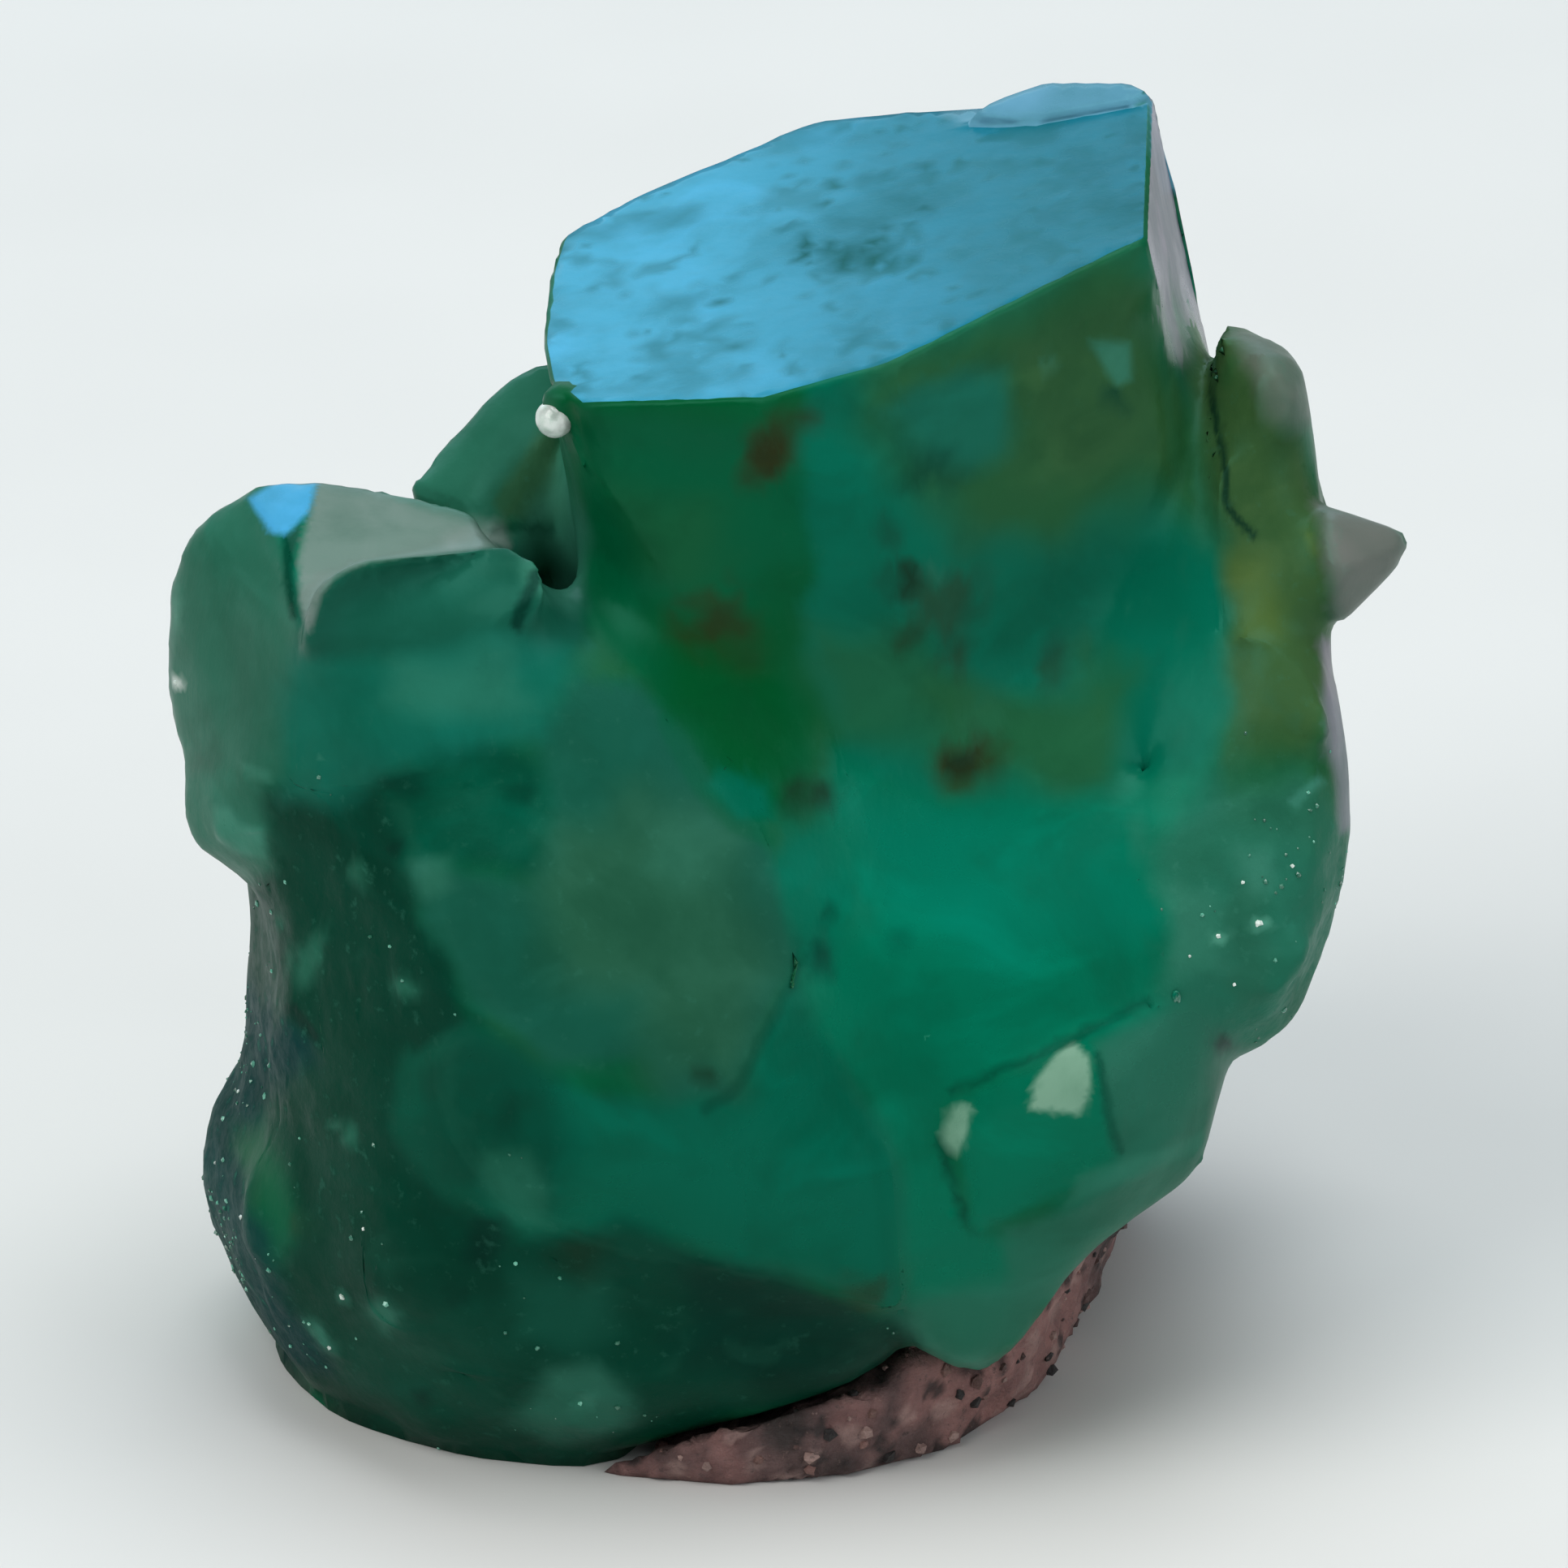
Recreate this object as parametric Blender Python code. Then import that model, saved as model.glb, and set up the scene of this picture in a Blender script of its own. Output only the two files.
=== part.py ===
"""Emerald crystal cluster on a scrap of host rock.

Two solids: the intergrown crystals and the rock under them, both cut flat below so the piece rests.
Tables are in layout units of 1.01 mm, in a view that looks down on the cluster: right, up, away.
"""
import math

import bmesh
import bpy
from mathutils import Vector, noise
from mathutils.bvhtree import BVHTree

# Layout view and frame
MM = 0.001
UNIT = 1.01 * MM
VIEW_DROP = 25.0
BASE_LEVEL = -15.1
SHIFT_X = -0.05
SHIFT_Y = -2.48

# Wear of edges, clearances and merging
EDGE_WEAR = 0.18
SOFT_WEAR = 0.4
ROCK_GAP = 0.3
FLAT_ANGLE = 3.0

# Growth direction of the main crystal and its near parallel neighbours
MAIN_AXIS = (0.18, -0.87, 0.454)

# Main hexagonal prism: corners of its end face, clockwise from the back left corner
MAIN_CAP = [(-5.4, 13.45), (-3.7, 14.4), (0.7, 16.3), (1.9, 16.45), (9.0, 16.9), (8.75, 13.15),
            (2.5, 10.05), (-0.5, 9.2), (-4.9, 9.1), (-5.6, 9.6), (-5.85, 10.8), (-5.7, 12.6)]
MAIN_CAP_DEPTH = -3.3
MAIN_CAP_SLOPE = (-0.396, 1.916)
MAIN_LENGTH = 23.0
MAIN_BREAK_POINT = (9.6, -8.6, 0.0)
MAIN_BREAK_WAY = (0.72, -0.69, 0.1)

# Taller growth step behind the end face: its front bevel
STEP_CAP = [(4.4, 16.4), (5.3, 16.9), (6.3, 17.25), (8.6, 17.2), (9.0, 16.95), (8.6, 16.7), (6.0, 16.25)]
STEP_DEPTH = 0.9
STEP_SLOPE = (-0.25, 1.2)
STEP_LENGTH = 12.0

# Short crystal behind the left side of the main prism
BACK_LEFT_CAP = [(-9.2, 7.3), (-9.0, 7.8), (-8.1, 9.1), (-7.3, 10.0), (-5.6, 10.5), (-4.9, 9.8),
                 (-6.2, 8.1), (-7.3, 6.5)]
BACK_LEFT_DEPTH = -0.8
BACK_LEFT_SLOPE = (-0.5, 0.8)
BACK_LEFT_LENGTH = 13.0

# Left crystal: ridge, bevel faces, front and side faces, then its hidden back
LEFT_CRYSTAL = [
    (-13.2, 7.25, -3.4), (-11.5, 7.4, -3.7), (-9.3, 7.1, -4.0), (-6.8, 6.4, -4.5),
    (-12.3, 6.2, -5.3), (-11.6, 3.9, -7.2), (-6.8, 5.2, -5.6), (-8.0, 3.5, -7.0),
    (-14.4, 6.8, -2.4), (-15.05, 5.8, -1.6), (-15.25, 4.0, -1.2), (-15.3, 1.7, -0.2), (-14.8, 0.6, 0.2),
    (-11.7, 0.2, -6.2), (-5.2, 1.5, -5.0), (-5.3, 4.6, -5.2),
    (-12.5, 5.6, 2.0), (-8.0, 4.5, 3.0), (-14.0, 1.5, 3.5), (-7.0, -1.0, 5.0), (-12.5, -1.0, 4.5)]

# Crystal standing in front of the left one: its front face, rounded at the upper left
LEFT_FRONT = [(-11.55, 3.9), (-11.2, 4.8), (-10.3, 5.35), (-6.8, 5.7), (-5.3, 5.4), (-4.9, 2.6), (-6.5, 2.6),
              (-9.6, 2.9), (-11.7, 2.4)]
LEFT_FRONT_DEPTH = -7.5
LEFT_FRONT_SLOPE = (0.22, -0.3)

LEFT_LOBE = [
    (-14.85, 0.6, -0.6), (-15.05, -0.6, -0.4), (-14.8, -1.6, -0.2), (-13.4, -2.3, 0.0), (-13.4, 0.9, -3.6),
    (-12.6, 0.6, -5.2), (-12.4, -1.6, -4.6), (-12.5, -2.6, -0.5), (-12.0, 1.5, 3.0), (-11.0, -2.0, 3.0),
    (-10.0, 0.5, -4.5), (-10.0, -2.0, -3.5)]

# Bevel step under the front face of the left crystal
LEFT_STEP = [(-11.8, 3.0), (-9.6, 3.3), (-6.5, 2.7), (-4.8, 2.3), (-6.4, 0.2), (-8.2, 0.7), (-10.2, 0.3),
             (-11.9, -0.2)]
LEFT_STEP_DEPTH = -7.3
LEFT_STEP_SLOPE = (0.08, 0.35)

# Milky block broken along a cleavage: its front face
MILKY_FACE = [(-6.2, 2.1), (-4.6, 3.35), (-2.8, 1.8), (-1.6, 0.3), (-0.1, -1.6), (0.35, -4.5),
              (-0.5, -6.1), (-1.3, -7.7), (-2.6, -7.85), (-5.4, -7.2), (-7.4, -5.6), (-8.9, -3.3),
              (-8.6, -1.8), (-7.1, 0.8)]
MILKY_DEPTH = -7.2
MILKY_SLOPE = (0.08, 0.1)
MILKY_RISE = 0.9
MILKY_INNER = 0.55

# Smooth face under the milky block: its front face
LOWER_FACE = [(-8.6, -6.0), (-5.3, -6.6), (-1.5, -6.6), (0.3, -4.9), (1.7, -7.2), (2.6, -9.0),
              (2.85, -12.7), (1.7, -12.4), (-2.1, -11.1), (-4.1, -10.5), (-5.8, -10.9), (-7.4, -9.7),
              (-8.4, -8.0)]
LOWER_DEPTH = -6.5
LOWER_SLOPE = (0.06, -0.12)

# Dark rough flank: outlines at set heights, object frame before the shift, x then y
FLANK_RINGS = [
    (-12.0, [(-12.6, 0.6), (-11.6, -4.6), (-8.8, -8.3), (-4.5, -9.0), (-11.5, 4.8), (-3.0, 8.6)]),
    (-8.0, [(-13.2, 0.6), (-12.2, -4.8), (-9.0, -8.7), (-4.5, -9.6), (-11.5, 5.2), (-3.0, 9.0)]),
    (-4.0, [(-13.25, 0.6), (-11.9, -4.6), (-9.0, -8.7), (-5.0, -9.4), (-11.0, 5.0), (-6.0, 8.2)]),
    (0.5, [(-12.9, 0.5), (-11.6, -4.2), (-8.8, -7.8), (-5.2, -8.0), (-10.6, 4.0), (-6.0, 6.5)]),
    (3.4, [(-11.4, -1.0), (-10.8, -5.2), (-8.6, -6.9), (-5.4, -6.8), (-9.0, 3.0)])]

# Foot of the flank, widest low down on the left
FOOT_RINGS = [
    (-15.9, [(-12.0, -1.3), (-10.3, -4.4), (-7.3, -6.1), (-5.8, -6.5), (-4.4, 4.5), (-6.0, 7.0),
             (-9.5, 6.3), (-12.2, 3.0)]),
    (-13.6, [(-13.5, 0.0), (-12.3, -4.0), (-8.5, -7.2), (-4.2, -8.1), (-4.0, 7.6), (-10.0, 7.2),
             (-13.2, 3.5)]),
    (-12.2, [(1.2, -8.5), (2.9, -7.7), (2.6, 4.0)]),
    (-10.6, [(-14.5, 0.2), (-13.0, -4.6), (-9.2, -8.0), (-4.0, -9.0), (1.5, -8.6), (3.2, -7.4),
             (3.2, 4.5), (-4.0, 8.8), (-10.4, 7.6), (-14.0, 4.2)]),
    (-8.8, [(-14.1, 0.4), (-12.6, -4.8), (-8.8, -8.4), (-12.5, 4.8), (-9.0, 8.0), (-3.0, 9.0)]),
    (-7.2, [(-13.0, 0.6), (-11.9, -4.0), (-11.5, 4.0), (-5.0, -6.0), (-4.0, 6.0)])]

# Front column: slanted upper facet over an upright face, rounded tip below
COLUMN = [
    (1.4, 0.45, -4.9), (4.0, 0.1, -4.6), (9.2, -0.5, -4.0), (0.4, -4.4, -6.3), (1.6, -3.3, -6.7),
    (9.3, -3.6, -5.7), (0.0, -5.4, -5.8), (2.6, -9.0, -4.6), (9.3, -5.6, -4.8),
    (2.9, -12.6, -3.2), (6.9, -12.2, -2.8), (8.9, -9.0, -3.0),
    (1.8, 0.2, 2.0), (9.5, -1.0, 2.0), (0.5, -5.0, 4.0), (9.5, -6.0, 4.0), (3.5, -11.5, 4.5),
    (7.0, -11.0, 4.5)]
COLUMN_TIP = [
    (2.8, -12.2, -3.6), (2.85, -13.3, -3.0), (3.6, -14.15, -2.2), (4.7, -14.5, -1.8), (5.4, -14.2, -1.7),
    (6.1, -13.2, -1.8), (6.9, -11.9, -2.4), (6.4, -10.6, -3.9), (3.0, -10.4, -4.5), (4.6, -12.9, -3.5),
    (3.4, -12.6, 1.6), (6.0, -12.4, 1.6), (4.6, -14.0, 0.6), (3.2, -10.5, 2.0), (6.8, -10.8, 2.0)]

# Stepped crystal at the lower right
STEPPED = [
    (4.0, -7.9, -6.1), (7.6, -6.4, -6.9), (8.3, -9.3, -5.7), (4.7, -11.0, -4.6), (9.8, -5.4, -5.3),
    (10.9, -6.9, -3.6), (10.2, -9.4, -2.7), (7.6, -10.7, -3.3), (4.3, -7.2, -5.0), (7.6, -5.8, -6.0),
    (10.0, -5.0, -4.6), (4.6, -7.6, 1.0), (10.6, -6.0, 2.5), (5.5, -10.6, 1.5), (10.0, -8.6, 2.5)]
STEP_LOW = [
    (5.6, -11.2, -3.9), (7.6, -10.5, -4.1), (10.3, -8.6, -3.6), (10.5, -9.2, -2.6), (9.2, -10.1, -2.2),
    (7.5, -10.9, -2.4), (6.3, -12.2, -2.2), (6.5, -10.8, 1.5), (9.6, -8.8, 1.5), (6.5, -8.5, -3.0),
    (10.0, -7.5, -2.6)]

# Right column with its end facet, nub, side spike and frosted bulge
RIGHT_COLUMN = [
    (10.2, 11.35, -2.9), (11.4, 10.8, -3.5), (12.6, 10.2, -2.8), (12.2, 11.0, -1.2), (10.2, 11.5, -0.8),
    (10.6, 8.0, -3.5), (12.9, 7.0, -2.9), (13.1, 7.5, -1.0), (11.2, 4.6, -3.5), (13.3, 3.8, -3.0),
    (11.0, -3.0, -4.8), (13.4, 2.0, -1.5), (10.3, 9.5, -2.6), (10.8, 3.5, -1.6), (10.7, -4.0, -3.0),
    (10.2, 9.6, 2.0), (12.4, 6.0, 3.0), (12.6, -1.0, 3.5), (10.4, -3.0, 4.0)]
RIGHT_NUB = [
    (11.4, 10.75, -4.4), (12.5, 10.55, -3.9), (12.95, 9.7, -3.6), (12.75, 8.7, -3.9), (12.4, 8.2, -4.6),
    (11.4, 9.3, -5.3), (11.9, 10.2, -1.6), (12.5, 9.4, -1.0), (11.0, 8.0, -2.0)]
RIGHT_SPIKE = [
    (15.4, 6.05, -2.7), (15.2, 5.7, -2.9), (13.1, 6.8, -3.4), (12.9, 6.4, -4.5), (13.3, 5.0, -5.0),
    (13.4, 3.7, -3.7), (13.9, 4.4, -1.4), (13.0, 6.6, -1.0), (12.0, 5.6, -0.5), (12.0, 3.8, -3.0),
    (15.3, 5.6, -2.1)]
RIGHT_BULGE = [
    (13.4, 3.6, -3.4), (13.75, 1.3, -2.6), (13.9, -0.7, -2.3), (13.65, -2.5, -2.1), (12.7, -5.4, -1.6),
    (12.1, -6.5, -1.3), (10.9, -7.0, -2.2), (13.2, 1.2, -4.4), (13.2, -1.0, -4.6), (12.6, -3.4, -5.2),
    (11.6, -5.4, -5.0), (9.3, -4.9, -5.4), (9.0, -2.0, -5.8), (11.3, 0.5, -5.6), (11.6, 3.4, -4.8),
    (13.2, 1.0, 1.5), (13.0, -3.0, 2.0), (11.2, -6.2, 2.0), (9.5, -5.0, 2.0), (10.0, 2.0, 1.0)]

# Crystals on the hidden side: end face centre, radius, length, direction, turn in degrees
BACK_CRYSTALS = [
    ((9.3, 7.6, 2.6), 2.9, 14.5, (-0.04, -0.87, 0.42), 12.0, 0.25),
    ((1.2, 11.6, 7.0), 3.8, 18.5, (0.1, -0.85, 0.42), 25.0, 0.3),
    ((-4.6, 6.8, 5.6), 3.1, 13.5, (0.02, -0.87, 0.42), 5.0, 0.22),
    ((-9.0, 2.6, 4.8), 2.7, 10.5, (0.02, -0.87, 0.4), 18.0, 0.35),
    ((6.9, 6.4, 8.2), 2.3, 13.0, (0.0, -0.87, 0.42), 40.0, 0.3)]

# Grains grown on the front: place in the layout view, then size in millimetres
GRAINS = [
    (-5.3, 4.9, 0.34), (-5.6, 5.7, 0.28), (-6.1, 5.6, 0.26), (-11.7, -4.6, 0.4), (-9.2, -4.9, 0.32),
    (-8.4, -2.3, 0.36), (-10.4, -2.1, 0.28), (-11.6, -6.9, 0.5), (-10.5, -8.5, 0.32), (-6.6, -9.9, 0.42),
    (-9.7, -12.9, 0.42), (-10.8, -12.6, 0.32), (-11.6, -13.3, 0.36), (-13.0, -5.4, 0.34),
    (-12.9, -7.0, 0.32), (-13.4, -8.3, 0.34), (-14.2, -9.6, 0.36), (-13.7, -11.0, 0.34),
    (-12.9, -12.6, 0.36), (-4.8, -15.4, 0.5), (-12.8, -3.2, 0.34), (11.6, -3.4, 0.36),
    (10.6, -3.2, 0.44), (12.6, -0.1, 0.38), (11.2, -1.6, 0.34), (12.4, -2.4, 0.34), (12.8, 5.1, 0.36),
    (-11.0, -3.4, 0.26), (-12.3, -6.2, 0.26), (-10.0, -10.6, 0.28), (-8.2, -14.6, 0.3),
    (-13.6, -1.2, 0.34), (-12.9, 0.2, 0.3), (13.0, 1.4, 0.28), (9.9, -4.3, 0.3)]
GRAIN_SINK = 0.35

# Ledges where plates broke off the flank: place in the layout view, half width, half height, turn
LEDGES = [
    (-10.6, -5.6, 1.3, 2.2, 12.0), (-8.4, -12.2, 1.9, 1.6, 30.0), (-3.6, -13.3, 1.5, 1.9, -8.0),
    (-6.3, -14.7, 1.6, 1.0, 14.0), (-12.2, -10.2, 1.3, 2.3, 18.0), (-0.4, -13.2, 1.5, 1.0, -20.0),
    (-9.7, -1.4, 1.3, 1.2, 35.0), (-12.0, -3.0, 1.0, 1.6, -15.0), (-10.6, -13.6, 1.2, 0.8, 5.0),
    (12.2, 2.2, 0.8, 1.6, 10.0), (11.9, -4.4, 1.0, 0.9, 30.0)]
LEDGE_THICKNESS = 1.6
LEDGE_LIFT = 0.26
LEDGE_TIP = 0.12

# Rounded grain on the front left corner of the end face: place in the layout view
CORNER_GRAIN = (-5.4, 9.2)
CORNER_GRAIN_RADIUS = 0.5

# Host rock: outlines at set heights, object frame before the shift, x then y
ROCK_RINGS = [
    (-15.1, [(-6.6, -6.3), (-4.0, -7.5), (-1.3, -8.0), (1.6, -7.4), (3.9, -6.1), (6.2, -2.8), (7.2, 1.2),
             (7.6, 6.0), (7.0, 10.4), (3.5, 12.6), (-2.5, 12.4), (-7.5, 10.2), (-10.5, 6.4), (-9.5, 2.0),
             (-8.5, -3.0)]),
    (-13.0, [(-6.0, -6.6), (-1.3, -8.2), (2.4, -7.6), (5.4, -5.2), (7.3, -1.4), (8.2, 2.5), (9.2, 8.0),
             (7.4, 12.0), (1.0, 13.6), (-6.5, 12.2), (-11.2, 8.6), (-11.6, 5.6)]),
    (-9.6, [(7.4, -2.6), (9.2, 2.0), (10.0, 8.5), (6.5, 12.4), (0.0, 13.8), (-6.5, 12.0), (-10.6, 8.0),
            (-6.0, -5.0)]),
    (-6.0, [(8.5, 2.5), (8.9, 8.2), (3.5, 11.8), (-3.5, 11.2), (-8.0, 8.5), (0.0, 0.0)])]
ROCK_CRUMB = 0.35
ROCK_CRUMB_SIZE = 1.5
ROCK_EDGE = 1.1


def from_view(u, v, d):
    """Point given as right, up, away in the layout view, returned in metres in the object frame."""
    drop = math.radians(VIEW_DROP)
    y = v * math.sin(drop) + d * math.cos(drop)
    z = v * math.cos(drop) - d * math.sin(drop)
    return Vector((u + SHIFT_X, y + SHIFT_Y, z - BASE_LEVEL)) * UNIT


def from_level(z, x, y):
    """Point given by height and plan position, returned in metres in the object frame."""
    return Vector((x + SHIFT_X, y + SHIFT_Y, z - BASE_LEVEL)) * UNIT


def view_way(u, v, d):
    """Direction given in the layout view, returned as a unit vector in the object frame."""
    return (from_view(u, v, d) - from_view(0.0, 0.0, 0.0)).normalized()


def convex(points):
    """Closed convex solid around the points, nearly level neighbours merged to one face."""
    bm = bmesh.new()
    for p in points:
        bm.verts.new(p)
    bmesh.ops.remove_doubles(bm, verts=bm.verts, dist=2e-5)
    made = bmesh.ops.convex_hull(bm, input=bm.verts)
    spare = set(made["geom_interior"] + made["geom_unused"])
    loose = [e for e in spare if isinstance(e, bmesh.types.BMVert) and e.is_valid]
    bmesh.ops.delete(bm, geom=loose, context="VERTS")
    bmesh.ops.dissolve_limit(bm, angle_limit=math.radians(FLAT_ANGLE), verts=bm.verts, edges=bm.edges)
    bmesh.ops.recalc_face_normals(bm, faces=bm.faces)
    return bm


def grown(points, gap):
    """The points with copies moved out by the gap on all sides, so their hull is larger by it."""
    result = []
    for p in points:
        for i in (-1, 0, 1):
            for j in (-1, 0, 1):
                for k in (-1, 0, 1):
                    if i or j or k:
                        result.append(p + Vector((i, j, k)).normalized() * gap * MM)
    return result


def cleave(bm, point, normal):
    """Breaks off everything on the side of the plane that the normal points to."""
    whole = bm.verts[:] + bm.edges[:] + bm.faces[:]
    cut = bmesh.ops.bisect_plane(bm, geom=whole, dist=1e-7, plane_co=point, plane_no=normal,
                                 clear_outer=True)
    rim = [e for e in cut["geom_cut"] if isinstance(e, bmesh.types.BMEdge)]
    if rim:
        bmesh.ops.edgenet_fill(bm, edges=rim)
    bmesh.ops.recalc_face_normals(bm, faces=bm.faces)


def wear(bm, width, steps=1):
    """Narrow bevel on every edge, as on a handled natural crystal."""
    bmesh.ops.bevel(bm, geom=bm.edges[:], offset=width * MM, offset_type="OFFSET", segments=steps,
                    profile=0.6, affect="EDGES", clamp_overlap=True)
    bmesh.ops.remove_doubles(bm, verts=bm.verts, dist=3e-6)
    bmesh.ops.recalc_face_normals(bm, faces=bm.faces)


def to_object(bm, name):
    """Linked object from the mesh."""
    mesh = bpy.data.meshes.new(name)
    bm.to_mesh(mesh)
    bm.free()
    obj = bpy.data.objects.new(name, mesh)
    bpy.context.scene.collection.objects.link(obj)
    return obj


def block_points(outline, depth, slope, push, length, flare):
    """Corners of a prism: a face of the layout view, and that face pushed back along a direction."""
    cu = sum(p[0] for p in outline) / len(outline)
    cv = sum(p[1] for p in outline) / len(outline)
    face = [Vector((u, v, depth + slope[0] * (u - cu) + slope[1] * (v - cv))) for u, v in outline]
    centre = sum(face, Vector()) / len(face)
    run = Vector(push).normalized() * length
    back = [centre + (p - centre) * flare + run for p in face]
    return [from_view(*p) for p in face + back]


def crowned_points(outline, depth, slope, push, length):
    """Corners of a prism whose face rises to a smaller, nearer face inside its rim."""
    points = block_points(outline, depth, slope, push, length, 1.0)
    rim = points[:len(outline)]
    centre = sum(rim, Vector()) / len(rim)
    rise = view_way(0.0, 0.0, -1.0) * MILKY_RISE * MM
    return points + [centre + (p - centre) * MILKY_INNER + rise for p in rim]


def hexagon_points(centre, radius, length, push, turn, skew):
    """Corners of a six-sided prism with a slightly oblique end face."""
    axis = view_way(*push)
    side = axis.cross(Vector((0.0, 1.0, 0.0))).normalized()
    other = axis.cross(side).normalized()
    top = from_view(*centre)
    points = []
    for i in range(6):
        angle = math.radians(turn + 60.0 * i)
        out = (side * math.cos(angle) + other * math.sin(angle)) * radius * MM
        points.append(top + out + axis * math.cos(angle) * skew * radius * MM)
        points.append(top + out * 1.05 + axis * length * MM)
    return points


def ledge_points(index, spot, normal, wide, high, turn):
    """Corners of a broken plate on the surface, with an uneven outline and a slightly tipped face."""
    side = normal.cross(Vector((0.0, 0.0, 1.0))).normalized()
    rise = side.cross(normal).normalized()
    points = []
    for i in range(6):
        angle = math.radians(turn + 60.0 * i + 14.0 * math.sin(2.1 * i + index))
        reach = 1.0 + 0.28 * math.sin(3.7 * i + 1.9 * index)
        out = side * math.cos(angle) * wide * reach + rise * math.sin(angle) * high * reach
        lift = LEDGE_LIFT + LEDGE_TIP * math.sin(angle + index)
        points.append(spot + (out + normal * lift) * MM)
        points.append(spot + (out * 1.1 - normal * LEDGE_THICKNESS) * MM)
    return points


def ring_points(rings):
    """Corners of stacked outlines."""
    return [from_level(z, x, y) for z, outline in rings for x, y in outline]


def crystal_bodies():
    """Point sets of all crystals that grew through each other, with the wear of their edges."""
    away = (0.0, 0.0, 1.0)
    bodies = [
        (block_points(MAIN_CAP, MAIN_CAP_DEPTH, MAIN_CAP_SLOPE, MAIN_AXIS, MAIN_LENGTH, 1.03), EDGE_WEAR),
        (block_points(STEP_CAP, STEP_DEPTH, STEP_SLOPE, MAIN_AXIS, STEP_LENGTH, 1.0), 0.1),
        (block_points(BACK_LEFT_CAP, BACK_LEFT_DEPTH, BACK_LEFT_SLOPE, MAIN_AXIS, BACK_LEFT_LENGTH, 1.0),
         EDGE_WEAR),
        (block_points(LEFT_FRONT, LEFT_FRONT_DEPTH, LEFT_FRONT_SLOPE, away, 5.0, 1.0), EDGE_WEAR),
        (block_points(LEFT_STEP, LEFT_STEP_DEPTH, LEFT_STEP_SLOPE, away, 6.0, 1.05), EDGE_WEAR),
        (crowned_points(MILKY_FACE, MILKY_DEPTH, MILKY_SLOPE, away, 6.0), SOFT_WEAR),
        (block_points(LOWER_FACE, LOWER_DEPTH, LOWER_SLOPE, away, 7.0, 1.0), EDGE_WEAR),
        (ring_points(FLANK_RINGS), SOFT_WEAR),
        (ring_points(FOOT_RINGS), SOFT_WEAR)]
    for table, width in ((LEFT_CRYSTAL, EDGE_WEAR), (LEFT_LOBE, SOFT_WEAR), (COLUMN, EDGE_WEAR),
                         (COLUMN_TIP, SOFT_WEAR), (STEPPED, EDGE_WEAR), (STEP_LOW, EDGE_WEAR),
                         (RIGHT_COLUMN, EDGE_WEAR), (RIGHT_NUB, EDGE_WEAR), (RIGHT_SPIKE, EDGE_WEAR),
                         (RIGHT_BULGE, SOFT_WEAR)):
        bodies.append(([from_view(*p) for p in table], width))
    for centre, radius, length, push, turn, skew in BACK_CRYSTALS:
        bodies.append((hexagon_points(centre, radius, length, push, turn, skew), EDGE_WEAR))
    return bodies


def surface_at(tree, u, v):
    """Point and outward direction of the front surface seen at a place of the layout view."""
    away = view_way(0.0, 0.0, 1.0)
    spot, normal, _, _ = tree.ray_cast(from_view(u, v, -40.0), away)
    if normal.dot(away) > 0.0:
        normal = -normal
    return spot, normal


def grain_points(index, spot, normal, size):
    """Corners of a small stubby crystal on the surface, turned differently from its neighbours."""
    tilt = 2.4 * index
    lean = Vector((math.cos(tilt), math.sin(tilt), 0.3 * math.sin(3.0 * tilt)))
    axis = (normal + 0.5 * lean).normalized()
    side = axis.orthogonal().normalized()
    other = axis.cross(side)
    foot = spot - axis * GRAIN_SINK * size * MM
    points = [foot + axis * size * MM * (1.15 + 0.3 * math.sin(tilt))]
    for i in range(6):
        angle = math.radians(37.0 * index + 60.0 * i)
        out = (side * math.cos(angle) + other * math.sin(angle)) * size * MM
        points.append(foot + out * (0.8 + 0.2 * math.sin(tilt + i)) + axis * 0.7 * size * MM)
        points.append(foot + out - axis * 0.6 * size * MM)
    return points


def volume_of(mesh):
    """Enclosed volume of the mesh."""
    bm = bmesh.new()
    bm.from_mesh(mesh)
    volume = bm.calc_volume(signed=True)
    bm.free()
    return volume


def combined(target, other, operation, solver):
    """Mesh of the target joined with the other solid, or cut by it."""
    mod = target.modifiers.new("combine", "BOOLEAN")
    mod.operation = operation
    mod.solver = solver
    mod.object = other
    graph = bpy.context.evaluated_depsgraph_get()
    mesh = bpy.data.meshes.new_from_object(target.evaluated_get(graph), depsgraph=graph)
    target.modifiers.clear()
    return mesh


def combine(target, others, operation):
    """Joins the other solids into the target or cuts them out, with a second method where one fails."""
    for other in others:
        own = volume_of(target.data)
        most = own if operation == "DIFFERENCE" else own + volume_of(other.data)
        least = 0.5 * own if operation == "DIFFERENCE" else own
        mesh = combined(target, other, operation, "EXACT")
        if not 0.999 * least < volume_of(mesh) < 1.001 * most:
            bpy.data.meshes.remove(mesh)
            mesh = combined(target, other, operation, "MANIFOLD")
        old = target.data
        target.data = mesh
        bpy.data.meshes.remove(old)
        bpy.data.objects.remove(other, do_unlink=True)


def keep_largest(obj):
    """Leaves only the connected piece with the most corners."""
    bm = bmesh.new()
    bm.from_mesh(obj.data)
    left = set(bm.verts)
    pieces = []
    while left:
        front = [left.pop()]
        piece = set(front)
        while front:
            for edge in front.pop().link_edges:
                for vert in edge.verts:
                    if vert in left:
                        left.discard(vert)
                        piece.add(vert)
                        front.append(vert)
        pieces.append(piece)
    pieces.sort(key=len)
    for piece in pieces[:-1]:
        bmesh.ops.delete(bm, geom=list(piece), context="VERTS")
    bm.to_mesh(obj.data)
    bm.free()


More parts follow.
